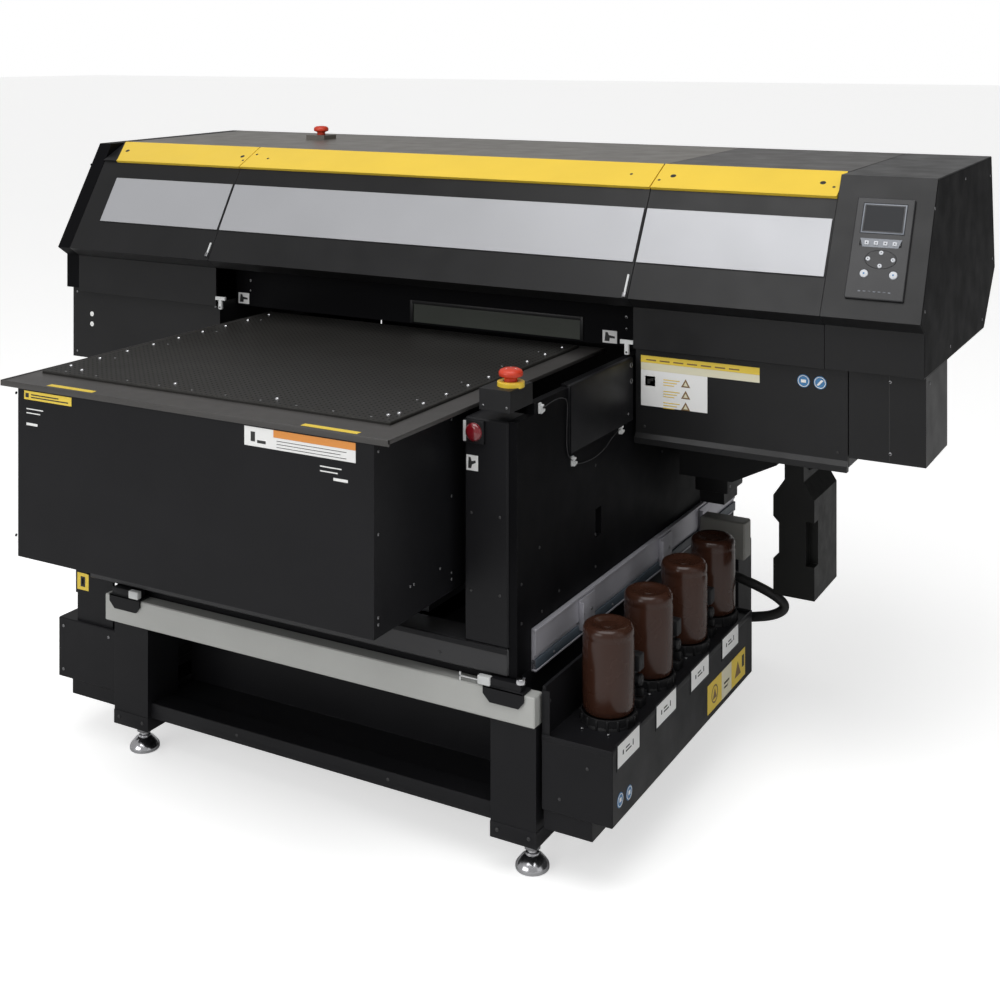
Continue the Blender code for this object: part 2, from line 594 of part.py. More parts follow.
# ---- Ink unit ----
def build_ink_unit():
    wall_depth = (TRAY_FRONT + 0.004, TRAY_BACK - 0.004)
    tray = box("ink_tray", BLACK, (TRAY_LEFT, TRAY_RIGHT), (TRAY_FRONT, TRAY_BACK), (TRAY_BOTTOM, TRAY_TOP), 0.002)
    joined(
        tray,
        box("tray_back_wall", BLACK, (TRAY_LEFT + 0.001, TRAY_LEFT + 0.007), wall_depth, (0.200, 0.352)),
        box("tray_toe", BLACK, (TRAY_LEFT + 0.003, 0.602), (TRAY_FRONT + 0.004, -0.100), (0.101, 0.140)),
    )
    height = BOTTLE_TOP - BOTTLE_BOTTOM
    profile = (
        (0.0, height),
        (BOTTLE_RADIUS * 0.82, height - 0.001),
        (BOTTLE_RADIUS * 0.96, height - 0.006),
        (BOTTLE_RADIUS, height - 0.014),
        (BOTTLE_RADIUS, 0.020),
        (BOTTLE_RADIUS * 0.85, 0.010),
        (BOTTLE_RADIUS * 0.50, 0.004),
        (BOTTLE_RADIUS * 0.50, 0.0),
        (0.0, 0.0),
    )
    for i, y in enumerate(BOTTLE_Y):
        turned(f"ink_bottle_{i + 1}", AMBER, profile, (BOTTLE_X, y, BOTTLE_BOTTOM + GAP), 24)
        socket = (
            (0.0, 0.0155), (SOCKET_RADIUS - 0.004, 0.0155), (SOCKET_RADIUS, 0.012), (SOCKET_RADIUS, 0.0), (0.0, 0.0),
        )
        joined(tray, turned(f"bottle_socket_{i + 1}", PLASTIC, socket, (BOTTLE_X, y, TRAY_TOP - 0.004), 20))
    box("junction_box", BEIGE, (0.501, 0.606), (0.215, 0.257), (0.350, 0.433), 0.003)


def build_left_box():
    # A cabinet beside the front left leg, with its bottom step.
    body = box("left_cabinet", BLACK, (-0.670, -0.4990), (-0.560, -0.200), (0.125, 0.252), 0.002)
    joined(body, box("cabinet_toe", BLACK, (-0.630, -0.5000), (-0.558, -0.220), (0.095, 0.130)))
    joined(
        body,
        box("bracket_stem", BLACK, (-0.622, -0.520), (-0.552, -0.546), (0.245, 0.354)),
        box("label_plate", BLACK, (-0.627, WALL_LEFT_X - GAP), (-0.552, -0.546), (0.310, 0.368)),
    )


def build_waste_tank():
    """Waist-shaped bottle under the right lower box, with a neck that screws in."""
    x0, x1 = 0.732, 0.818
    y0, y1 = 0.030, 0.190
    side = [
        (x0, 0.362), (x1, 0.362), (x1, 0.565), (0.796, 0.600), (0.796, 0.640), (0.756, 0.640), (0.756, 0.600),
        (x0, 0.565), (x0, 0.522), (x0 + 0.012, 0.510), (x0 + 0.012, 0.448), (x0, 0.436),
    ]
    body = solid_mesh(
        outline("waste_tank", PLASTIC, [side], y1 - y0, (0.0, (y0 + y1) / 2, 0.0), (math.pi / 2, 0.0, 0.0))
    )
    shoulder = box("neck_cut", None, (x0 - 0.010, x1 + 0.010), (0.130, 0.250), (0.6005, 0.700))
    grip = box("grip_cut", None, (x1 - 0.018, x1 + 0.020), (0.020, 0.056), (0.430, 0.520))
    cut(body, shoulder, grip)
    tube("waste_hose", PLASTIC, [(x, HOSE_Y, z) for x, z in HOSE_PATH], 0.010)


build_stand()
build_body()
build_table()
build_covers()
build_housing()
build_lower_boxes()
build_mechanism()
build_panel()
build_ink_unit()
build_left_box()
build_waste_tank()

for made in list(parts.objects) + list(cutters.objects):
    made.location += ORIGIN_SHIFT
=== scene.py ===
"""Looks of the flatbed UV printer, built round its CAD frame.

Metres. Positions below count from the floor at the centre of the four-legged stand, as in the CAD design.
"""

import math

import bmesh
import bpy
from mathutils import Matrix, Vector


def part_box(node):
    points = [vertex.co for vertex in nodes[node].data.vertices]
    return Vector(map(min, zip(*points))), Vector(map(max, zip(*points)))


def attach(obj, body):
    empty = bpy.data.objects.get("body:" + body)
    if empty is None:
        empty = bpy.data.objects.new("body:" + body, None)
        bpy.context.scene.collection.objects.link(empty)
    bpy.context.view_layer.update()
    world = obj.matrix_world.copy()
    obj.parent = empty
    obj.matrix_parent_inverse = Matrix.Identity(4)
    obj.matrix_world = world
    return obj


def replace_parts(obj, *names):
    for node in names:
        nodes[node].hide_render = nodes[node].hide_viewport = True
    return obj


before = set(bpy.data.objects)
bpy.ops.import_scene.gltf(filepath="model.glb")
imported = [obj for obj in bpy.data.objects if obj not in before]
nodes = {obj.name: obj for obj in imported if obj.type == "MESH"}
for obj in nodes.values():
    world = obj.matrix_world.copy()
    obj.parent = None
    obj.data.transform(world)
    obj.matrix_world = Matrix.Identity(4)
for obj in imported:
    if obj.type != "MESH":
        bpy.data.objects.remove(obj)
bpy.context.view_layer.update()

stand_low, stand_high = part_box("stand_frame")
CENTRE = Vector(((stand_low[0] + stand_high[0]) / 2, (stand_low[1] + stand_high[1]) / 2, 0.0))


def extent(node):
    """(lowest corner, highest corner) of a CAD node, counted from the centre of the stand."""
    low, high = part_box(node)
    return Vector(low) - CENTRE, Vector(high) - CENTRE


# ---- Materials ----
def link(tree, source, target):
    tree.links.new(source, target)


def noise(tree, coordinates, scale, detail=3.0, roughness=0.5):
    made = tree.nodes.new("ShaderNodeTexNoise")
    made.inputs["Scale"].default_value = scale
    made.inputs["Detail"].default_value = detail
    made.inputs["Roughness"].default_value = roughness
    link(tree, coordinates, made.inputs["Vector"])
    return made.outputs["Fac"]


def mapped(tree, value, low, high, to_low, to_high):
    made = tree.nodes.new("ShaderNodeMapRange")
    link(tree, value, made.inputs["Value"])
    for name, number in (("From Min", low), ("From Max", high), ("To Min", to_low), ("To Max", to_high)):
        made.inputs[name].default_value = number
    return made.outputs["Result"]


def mixed(tree, factor, first, second):
    """The first colour where the factor is 0 and the second where it is 1."""
    made = tree.nodes.new("ShaderNodeMix")
    made.data_type = "RGBA"
    for value, socket in ((factor, made.inputs[0]), (first, made.inputs[6]), (second, made.inputs[7])):
        if isinstance(value, (tuple, float)):
            socket.default_value = value if isinstance(value, float) else (*value, 1.0)
        else:
            link(tree, value, socket)
    return made.outputs[2]


def maths(tree, operation, first, second=0.0, clamp=False):
    made = tree.nodes.new("ShaderNodeMath")
    made.operation = operation
    made.use_clamp = clamp
    for value, socket in ((first, made.inputs[0]), (second, made.inputs[1])):
        if isinstance(value, (int, float)):
            socket.default_value = value
        else:
            link(tree, value, socket)
    return made.outputs["Value"]


def surface(
    name, colour, roughness, metallic=0.0, variation=0.12, patch=6.0, grain=900.0, grain_depth=0.00006,
    wear=None, wear_amount=0.5, edge=0.0012, coat=0.0, specular=0.5, stretch=(1.0, 1.0, 1.0), pattern=None,
):
    """A painted, moulded or bare metal surface: patchy colour and gloss, fine grain, and rubbed edges."""
    made = bpy.data.materials.new(name)
    made.use_nodes = True
    tree = made.node_tree
    shader = tree.nodes["Principled BSDF"]
    place = tree.nodes.new("ShaderNodeTexCoord").outputs["Object"]
    scaled = tree.nodes.new("ShaderNodeMapping")
    scaled.inputs["Scale"].default_value = stretch
    link(tree, place, scaled.inputs["Vector"])

    patches = noise(tree, place, patch, 4.0)
    dark = tuple(channel * (1.0 - variation) for channel in colour)
    light = tuple(min(1.0, channel * (1.0 + variation)) for channel in colour)
    tint = mixed(tree, mapped(tree, patches, 0.3, 0.7, 0.0, 1.0), dark, light)
    fine = noise(tree, scaled.outputs["Vector"], grain, 2.0, 0.6)
    tint = mixed(tree, mapped(tree, fine, 0.35, 0.75, 0.0, 0.35), tint, light)

    rounded = tree.nodes.new("ShaderNodeBevel")
    rounded.samples = 4
    rounded.inputs["Radius"].default_value = edge
    gloss = mapped(tree, noise(tree, place, patch * 2.7, 3.0), 0.25, 0.75, roughness - 0.05, roughness + 0.07)
    if wear:
        facing = tree.nodes.new("ShaderNodeVectorMath")
        facing.operation = "DOT_PRODUCT"
        link(tree, rounded.outputs["Normal"], facing.inputs[0])
        link(tree, tree.nodes.new("ShaderNodeNewGeometry").outputs["True Normal"], facing.inputs[1])
        edges = mapped(tree, facing.outputs["Value"], 0.995, 0.86, 0.0, 1.0)
        broken = mapped(tree, noise(tree, place, 55.0, 4.0), 0.42, 0.66, 0.15, 1.0)
        rubbed = maths(tree, "MULTIPLY", maths(tree, "MULTIPLY", edges, broken), wear_amount, clamp=True)
        tint = mixed(tree, rubbed, tint, wear)
    if pattern:
        tint, gloss = pattern(tree, place, tint, gloss)
    link(tree, tint, shader.inputs["Base Color"])
    link(tree, gloss, shader.inputs["Roughness"])
    shader.inputs["Metallic"].default_value = metallic
    shader.inputs["Specular IOR Level"].default_value = specular
    shader.inputs["Coat Weight"].default_value = coat
    shader.inputs["Coat Roughness"].default_value = 0.12
    bump = tree.nodes.new("ShaderNodeBump")
    bump.inputs["Strength"].default_value = 1.0
    bump.inputs["Distance"].default_value = grain_depth
    link(tree, fine, bump.inputs["Height"])
    link(tree, rounded.outputs["Normal"], bump.inputs["Normal"])
    link(tree, bump.outputs["Normal"], shader.inputs["Normal"])
    made.diffuse_color = (*colour, 1.0)
    return made


def perforations(tree, place, tint, gloss):
    """Small round suction holes on a square grid, on faces that look up, painted as near-black discs of
    painted shade.
    """
    pitch, radius = 0.0125, 0.0021
    split = tree.nodes.new("ShaderNodeSeparateXYZ")
    link(tree, place, split.inputs["Vector"])
    distances = []
    for axis in ("X", "Y"):
        cell = maths(tree, "PINGPONG", split.outputs[axis], pitch / 2)
        distances.append(maths(tree, "POWER", cell, 2.0))
    squared = maths(tree, "ADD", distances[0], distances[1])
    shaded_hole = maths(tree, "LESS_THAN", squared, radius ** 2)
    up = tree.nodes.new("ShaderNodeSeparateXYZ")
    link(tree, tree.nodes.new("ShaderNodeNewGeometry").outputs["True Normal"], up.inputs["Vector"])
    shaded_hole = maths(tree, "MULTIPLY", shaded_hole, maths(tree, "GREATER_THAN", up.outputs["Z"], 0.9))
    # The near-black colour is painted shade inside each hole; the plate has no real holes.
    tint = mixed(tree, shaded_hole, tint, (0.004, 0.004, 0.004))
    return tint, maths(tree, "MAXIMUM", gloss, maths(tree, "MULTIPLY", shaded_hole, 0.8))


WORN_METAL = (0.055, 0.055, 0.058)
SMOOTH = 0.00001    # grain depth of printed, plated and glazed surfaces


def sheet_material(name, colour, roughness, specular):
    """The fine black coat of the outer sheets."""
    return surface(name, colour, roughness, grain=500.0, grain_depth=0.00004, wear=WORN_METAL,
                   wear_amount=0.35, specular=specular)


def print_material(name, colour, roughness, variation):
    """Ink or film on a label."""
    return surface(name, colour, roughness, variation=variation, grain=500.0, grain_depth=SMOOTH)


BLACK = surface(
    "black_powder_coat", (0.0098, 0.0098, 0.0112), 0.42, grain=650.0, wear=WORN_METAL, specular=0.17)
HOUSING = sheet_material("housing_black", (0.0105, 0.0105, 0.0112), 0.36, 0.3)
# A darker copy of the housing black, with little gloss: painted shade for the end and side faces and the
# recess wall, which turn away from the light.
SHADED_BLACK = sheet_material("shaded_side_black", (0.005, 0.005, 0.0058), 0.44, 0.04)
DARK = surface("dark_grey_coat", (0.056, 0.053, 0.051), 0.4, grain=600.0, wear=WORN_METAL, wear_amount=0.4)
TOP = surface("top_plate_coat", (0.125, 0.114, 0.1), 0.34, grain=600.0, wear=(0.12, 0.11, 0.1),
              wear_amount=0.4, specular=0.6)
GREY = surface("grey_paint", (0.47, 0.475, 0.455), 0.42, variation=0.06, grain=420.0,
               wear=(0.62, 0.62, 0.6), wear_amount=0.6)
ALUMINIUM = surface("brushed_aluminium", (0.5, 0.52, 0.54), 0.36, 1.0, 0.08, grain=260.0,
                    stretch=(1.0, 0.04, 1.0), wear=(0.75, 0.76, 0.78))
RAIL_PAINT = surface("rail_grey", (0.5, 0.495, 0.54), 0.38, 0.35, 0.1, grain=320.0,
                     stretch=(1.0, 0.08, 1.0), wear=(0.62, 0.63, 0.65))
STEEL = surface("ground_steel", (0.3, 0.3, 0.31), 0.34, 1.0, 0.1, grain=700.0, wear=(0.5, 0.5, 0.5))
DARK_STEEL = surface(
    "blackened_screws", (0.06, 0.06, 0.062), 0.4, 0.8, 0.1, grain=700.0, wear=(0.2, 0.2, 0.2))
CHROME = surface("chrome_plate", (0.62, 0.62, 0.64), 0.16, 1.0, 0.05, grain=90.0, grain_depth=SMOOTH)
YELLOW = surface(
    "yellow_paint", (0.9, 0.62, 0.045), 0.34, variation=0.04, grain=500.0, wear=(0.98, 0.72, 0.12), coat=0.3)
SILVER = surface("silver_grey_panel", (0.43, 0.435, 0.455), 0.38, 0.3, 0.05, patch=2.2, wear=(0.6, 0.6, 0.62))
RED = surface("red_plastic", (0.62, 0.045, 0.016), 0.33, variation=0.06, grain=400.0, wear=(0.85, 0.2, 0.1))
LENS = surface("red_lens", (0.2, 0.006, 0.012), 0.12, variation=0.15, grain=120.0, coat=1.0)
BED = surface("bed_anodised", (0.029, 0.028, 0.026), 0.44, 0.25, 0.14, patch=2.2, grain=700.0,
              wear=(0.2, 0.19, 0.18), pattern=perforations, specular=0.22)
WINDOW = surface("tinted_window", (0.05, 0.056, 0.047), 0.16, variation=0.05, grain=60.0, grain_depth=SMOOTH)
BOTTLE = surface(
    "bottle_brown", (0.042, 0.0165, 0.01), 0.24, variation=0.1, patch=9.0, grain=300.0, grain_depth=0.000008,
    coat=0.22, wear=(0.12, 0.055, 0.038), wear_amount=0.3, specular=0.28)
PLASTIC = surface("black_plastic", (0.012, 0.012, 0.013), 0.48, grain_depth=0.00008,
                  wear=(0.05, 0.05, 0.05), specular=0.3)
TANK = surface("blown_plastic", (0.0045, 0.0047, 0.0043), 0.42, patch=14.0, grain=700.0,
               grain_depth=0.0001, wear=(0.03, 0.03, 0.028), specular=0.18)
RUBBER = surface("hose_rubber", (0.008, 0.008, 0.008), 0.55, patch=25.0, grain=1200.0, grain_depth=0.0001)
BEZEL = surface("bezel_grey", (0.028, 0.028, 0.03), 0.36, grain=700.0, wear=(0.12, 0.12, 0.125), specular=0.4)
SCREEN = surface(
    "screen_glass", (0.008, 0.009, 0.012), 0.16, variation=0.1, grain=80.0, grain_depth=SMOOTH, specular=0.2)
LIT = surface("screen_border", (0.2, 0.215, 0.245), 0.25, variation=0.06, grain=200.0, grain_depth=SMOOTH)
KEY = surface("key_white", (0.62, 0.64, 0.68), 0.42, variation=0.05, grain=500.0)
WHITE = print_material("white_print", (0.9, 0.9, 0.89), 0.5, 0.03)
CREAM = print_material("cream_print", (0.78, 0.74, 0.55), 0.5, 0.04)
LABEL_YELLOW = print_material("yellow_print", (0.85, 0.62, 0.07), 0.48, 0.04)
ORANGE = print_material("orange_print", (0.78, 0.3, 0.06), 0.48, 0.05)
BROWN = print_material("brown_print", (0.22, 0.13, 0.05), 0.5, 0.05)
BLUE = print_material("blue_print", (0.055, 0.2, 0.42), 0.48, 0.06)
# Dark print, also used as painted shade in screw recesses and vent openings.
INK_AND_SHADE = print_material("dark_print_and_shade", (0.02, 0.02, 0.02), 0.55, 0.1)
BEIGE = surface(
    "beige_coat", (0.27, 0.265, 0.245), 0.48, variation=0.07, grain=600.0, wear=(0.45, 0.45, 0.42))
BLUE_GREY = surface(
    "blue_grey_coat", (0.06, 0.08, 0.1), 0.42, variation=0.1, grain=500.0, wear=(0.2, 0.22, 0.24))
PALE = surface("pale_nylon", (0.66, 0.67, 0.67), 0.45, variation=0.05, grain=600.0, wear=(0.85, 0.85, 0.85))

NODE_LOOKS = {
    GREY: ("front_beam",),
    RAIL_PAINT: ("side_rail_left", "side_rail_right"),
    ALUMINIUM: ("table_carriage", "gantry_beam", "uv_lamp_left", "uv_lamp_right"),
    STEEL: ("table_drive_screw", "table_lift_frame", "belt_pulley"),
    BED: ("bed_plate",),
    WINDOW: ("viewing_window",),
    PLASTIC: ("column_estop_housing", "print_carriage", "capping_station"),
    TANK: ("waste_tank",),
    RUBBER: ("waste_hose", "drive_belt"),
    BEZEL: ("panel_bezel", "front_sill"),
    SCREEN: ("panel_screen",),
    BEIGE: ("junction_box",),
    DARK: ("table_flange", "top_plate_right", "rear_cover"),
    TOP: ("top_plate",),
    # The end and side faces and the recess wall take the darker black as painted shade.
    SHADED_BLACK: ("end_cheek_left", "recess_wall", "side_wall_left", "side_wall_right"),
    HOUSING: (
        "front_cover_left", "front_cover_centre", "front_cover_right", "lower_box_left", "lower_box_right",
        "maintenance_cover", "end_unit_right", "lower_box_far_right",
    ),
}
look_of = {name: look for look, names in NODE_LOOKS.items() for name in names}
for name, node in nodes.items():
    node.data.materials.clear()
    node.data.materials.append(look_of.get(name, BLACK))


# ---- Mesh building ----
SLOPE = math.radians(30)
FACES = {    # the X, Y and Z axes of each face: X runs right, Y up and Z out
    "front": ((1, 0, 0), (0, 0, 1), (0, -1, 0)),
    "right": ((0, 1, 0), (0, 0, 1), (1, 0, 0)),
    "left": ((0, -1, 0), (0, 0, 1), (-1, 0, 0)),
    "back": ((-1, 0, 0), (0, 0, 1), (0, 1, 0)),
    "top": ((1, 0, 0), (0, 1, 0), (0, 0, 1)),
    "slope": ((1, 0, 0), (0, math.sin(SLOPE), math.cos(SLOPE)), (0, -math.cos(SLOPE), math.sin(SLOPE))),
}


def slope_y(z):
    """How far back the sloping front of the housing lies at a height."""
    top_y, top_z = 0.042, 1.225
    return top_y + (z - top_z) * math.tan(SLOPE)


PRINT = 0.0006    # thickness of raised print


def circle(steps, radius=1.0, centre=(0.0, 0.0)):
    """Points spaced evenly round a circle."""
    angles = [2 * math.pi * i / steps for i in range(steps)]
    return [(centre[0] + radius * math.cos(angle), centre[1] + radius * math.sin(angle)) for angle in angles]


def add_object(name, data, place):
    made = bpy.data.objects.new(name, data)
    made.location = place
    bpy.context.scene.collection.objects.link(made)
    return made


class Build:
    """Collects shapes into one piece. Each shape takes a look by its number in the list of looks."""

    def __init__(self, name, looks, body="machine"):
        self.name = name
        self.body = body
        self.looks = looks
        self.place = Matrix.Identity(4)
        self.mesh = bmesh.new()

    def on(self, face, level, u=0.0, v=0.0):
        """The next shapes stand on a face: upright or top at a level, slope at a height."""
        origin = {
            "top": (u, v, level), "left": (level, u, v), "right": (level, u, v), "front": (u, level, v),
            "back": (u, level, v), "slope": (u, slope_y(level), level),
        }[face]
        axes = FACES[face]
        turn = Matrix([[axis[row] for axis in axes] for row in range(3)]).to_4x4()
        self.place = Matrix.Translation(Vector(origin)) @ turn

    def at(self, x=0.0, y=0.0, z=0.0):
        """The next shapes stand upright, with their zero at this point."""
        self.place = Matrix.Translation(Vector((x, y, z)))

    def settle(self, verts, local, look):
        bmesh.ops.transform(self.mesh, matrix=self.place @ local, verts=verts)
        for face in {face for vert in verts for face in vert.link_faces}:
            face.material_index = look

    def box(self, xs, ys, zs, look=0, edge=0.0):
        verts = bmesh.ops.create_cube(self.mesh, size=1.0)["verts"]
        size = (xs[1] - xs[0], ys[1] - ys[0], zs[1] - zs[0])
        middle = Vector(((xs[0] + xs[1]) / 2, (ys[0] + ys[1]) / 2, (zs[0] + zs[1]) / 2))
        bmesh.ops.scale(self.mesh, vec=size, verts=verts)
        if edge:
            edges = list({found for vert in verts for found in vert.link_edges})
            rounded = bmesh.ops.bevel(
                self.mesh, geom=edges, offset=edge, segments=2, profile=0.5, affect="EDGES")
            new = {vert for found in rounded["faces"] for vert in found.verts}
            verts = list(new | {vert for vert in verts if vert.is_valid})
        self.settle(verts, Matrix.Translation(middle), look)

    def turned(self, profile, centre=(0, 0, 0), sideways=False, look=0, steps=32):
        """A solid of revolution from (radius, height) points, top to bottom, with radius 0 at both ends."""
        rings = []
        for radius, height in profile:
            spots = circle(steps, radius) if radius else [(0.0, 0.0)]
            rings.append([self.mesh.verts.new((*spot, height)) for spot in spots])
        for upper, lower in zip(rings, rings[1:]):
            for i in range(steps):
                j = (i + 1) % steps
                above = upper[i % len(upper)], upper[j % len(upper)]
                below = lower[i % len(lower)], lower[j % len(lower)]
                self.mesh.faces.new(list(dict.fromkeys((above[0], *below, above[1]))))
        turn = Matrix.Rotation(math.pi / 2, 4, "Y") if sideways else Matrix.Identity(4)
        verts = [vert for ring in rings for vert in ring]
        self.settle(verts, Matrix.Translation(Vector(centre)) @ turn, look)

    def cap(self, rim, top, centre, look=0, steps=24, crown=0.0, shoulder=0.0, base=0.0):
        """A round cap. Its top falls by crown on the way to the shoulder, and its rim stands on the base."""
        profile = ((0.0, top), (shoulder or rim, top - crown), (rim, base), (0.0, base))
        self.turned(profile, centre, look=look, steps=steps)

    def join(self, first, second, look=0):
        """A closed solid between two loops of points."""
        loops = [[self.mesh.verts.new(point) for point in loop] for loop in (first, second)]
        for loop in loops:
            self.mesh.faces.new(loop)
        for i in range(len(first)):
            j = (i + 1) % len(first)
            self.mesh.faces.new((loops[0][i], loops[1][i], loops[1][j], loops[0][j]))
        self.settle(loops[0] + loops[1], Matrix.Identity(4), look)

    def plate(self, points, low, high, look=0):
        """An outline of (U, V) points on a face, from low to high above it."""
        self.join([(u, v, low) for u, v in points], [(u, v, high) for u, v in points], look)

    def ring(self, inner, outer, low, high, centre, look=0, steps=40):
        """A flat ring standing on a face."""
        loops = [
            [self.mesh.verts.new((*spot, height)) for spot in circle(steps, radius, centre)]
            for radius, height in ((inner, low), (inner, high), (outer, high), (outer, low))
        ]
        for a, b in zip(loops, loops[1:] + loops[:1]):
            for i in range(steps):
                j = (i + 1) % steps
                self.mesh.faces.new((a[i], a[j], b[j], b[i]))
        self.settle([vert for loop in loops for vert in loop], Matrix.Identity(4), look)

    def screws(self, spots, radius, look=0):
        """Low domed heads at (u, v) spots on a face. Their hexagonal recess is a flat dark cap, painted shade
        for the hollow, if the piece has the dark print look.
        """
        recess = self.looks.index(INK_AND_SHADE) if INK_AND_SHADE in self.looks else look
        top = radius * 0.45
        dome = ((0.0, top), (radius * 0.55, top), (radius * 0.92, top * 0.6), (radius, 0.0), (0.0, -0.0002))
        for u, v in spots:
            self.turned(dome, (u, v, 0.0), look=look, steps=16)
            # The dark hexagon is painted shade, standing in for the hollow of the recess.
            self.cap(radius * 0.45, top + 0.00015, (u, v, 0.0), recess, 6)

    def label(self, u0, v0, u1, v1, look, bars=(), thick=0.0004):
        """A thin printed plate. Each bar is (u0, v0, u1, v1, look) in shares of the plate."""
        self.box((u0, u1), (v0, v1), (0.0, thick), look)
        width, height = u1 - u0, v1 - v0
        for left, low, right, high, ink in bars:
            self.box((u0 + left * width, u0 + right * width), (v0 + low * height, v0 + high * height),
                     (0.0, thick + 0.00015), ink)

    def sticker(self, u, v, look):
        """A round print with a thin ring, in the first look, near its edge."""
        self.cap(0.013, PRINT, (u, v, 0.0), look, 28, crown=0.0001, shoulder=0.0125)
        self.ring(0.01, 0.0112, 0.0, 0.0009, (u, v), 0, 28)

    def done(self, bevel=0.0, sharp=35.0):
        bmesh.ops.recalc_face_normals(self.mesh, faces=self.mesh.faces)
        data = bpy.data.meshes.new(self.name)
        self.mesh.to_mesh(data)
        self.mesh.free()
        for look in self.looks:
            data.materials.append(look)
        data.shade_smooth()
        data.set_sharp_from_angle(angle=math.radians(sharp))
        made = add_object(self.name, data, CENTRE)
        if bevel:
            soften(made, bevel)
        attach(made, self.body)
        return made


def soften(made, width):
    rounding = made.modifiers.new("soft_edges", "BEVEL")
    rounding.width = width
    rounding.segments = 2
    rounding.limit_method = "ANGLE"
    rounding.angle_limit = math.radians(40)
    rounding.harden_normals = True


def wire(name, body, points, radius, look):
    """A hose or wire with rounded bends, as a curve guided by points."""
    curve = bpy.data.curves.new(name, "CURVE")
    curve.dimensions = "3D"
    curve.bevel_depth = radius
    curve.bevel_resolution = 4
    curve.use_fill_caps = True
    spline = curve.splines.new("NURBS")
    spline.points.add(len(points) - 1)
    for point, place in zip(spline.points, points):
        point.co = (*place, 1.0)
    spline.use_endpoint_u = True
    spline.order_u = 3
    curve.materials.append(look)
    made = add_object(name, curve, CENTRE)
    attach(made, body)
    return made


def round_node(node):
    """(middle of the bottom, radius, height) of an upright round CAD node."""
    low, high = extent(node)
    return Vector(((low.x + high.x) / 2, (low.y + high.y) / 2, low.z)), (high.x - low.x) / 2, high.z - low.z


for name in (
    "stand_frame", "column", "front_sill", "front_skirt_box", "junction_box", "left_cabinet", "ink_tray",
    "side_rail_right", "side_rail_left", "table_flange", "lower_box_far_right", "maintenance_cover",
    "waste_tank", "column_estop_housing", "end_unit_right", "end_cheek_left",
):
    soften(nodes[name], 0.0012)


# ---- Front covers ----
def build_cover_dressing():
    strip_back, strip_top, strip_bend = 0.0945, 1.2279, 1.187
    low_y = slope_y(1.182)
    end_gap = 0.0006
    panel_low, panel_high, panel_gap = 1.034, 1.14, 0.0028
    along = Vector((0.0, strip_back - low_y, strip_top - strip_bend)).normalized()
    out = Vector((0.0, -along.z, along.y))
    strip_turn = Matrix(((1, 0, 0), (0, along.y, out.y), (0, along.z, out.z))).to_4x4()
    small, large = 0.0034, 0.0062
    for side in ("left", "centre", "right"):
        low, high = extent(f"front_cover_{side}")
        x0, x1 = low.x, high.x
        strip = Build(f"yellow_strip_{side}", [YELLOW, INK_AND_SHADE], f"cover_{side}")
        # The left end of the left strip is cut on the slant.
        slant = 0.045 if side == "left" else 0.0
        rows = (
            (strip_back, strip_top, 0.0), (low_y - 0.0012, strip_bend, slant),
            (low_y - 0.0066, 1.1842, slant), (low_y - 0.001, 1.1785, slant), (strip_back, 1.2185, 0.0),
        )
        left_end = [(x0 + end_gap + inset, y, z) for y, z, inset in rows]
        strip.join(left_end, [(x1 - end_gap, y, z) for y, z, _ in rows])
        strip.place = Matrix.Translation(Vector((0.0, low_y, strip_bend)) + out * 0.0001) @ strip_turn
        dots = {
            "left": ((x0 + 0.045, 0.042, 0.0058), (x1 - 0.022, 0.04, 0.0056), (x1 - 0.008, 0.022, small)),
            "centre": ((x0 + 0.014, 0.052, small), (x0 + 0.06, 0.036, small), (x1 - 0.06, 0.04, small)),
            "right": ((x0 + 0.01, 0.022, small), (x0 + 0.036, 0.04, large), (x1 - 0.04, 0.04, large),
                      (x1 - 0.014, 0.026, small)),
        }[side]
        for x, up, radius in dots:
            strip.cap(radius, PRINT, (x, up, 0.0), 1, 20, crown=0.0002)
        strip.done(0.0008)

        left = -1.03 if side == "left" else x0 + panel_gap
        panel = Build(f"silver_panel_{side}", [SILVER], f"cover_{side}")
        middle = (panel_low + panel_high) / 2
        panel.on("slope", middle)
        half = (panel_high - panel_low) / 2 / math.cos(SLOPE)
        panel.box((left, x1 - panel_gap), (-half, half), (0.0008, 0.003))
        panel.done(0.0006)

    trim = Build("cover_seam_catches", [PALE, STEEL], "cover_centre")
    catch_z = 0.99
    for x, length in ((-0.641, 0.016), (0.467, 0.023)):
        trim.on("slope", catch_z, x)
        trim.box((-0.009, -0.0045), (-length, length), (0.0, 0.0036), 0, 0.0008)
        trim.box((-0.011, -0.003), (-length - 0.004, -length + 0.006), (0.0, 0.005), 1, 0.0008)
    trim.done()


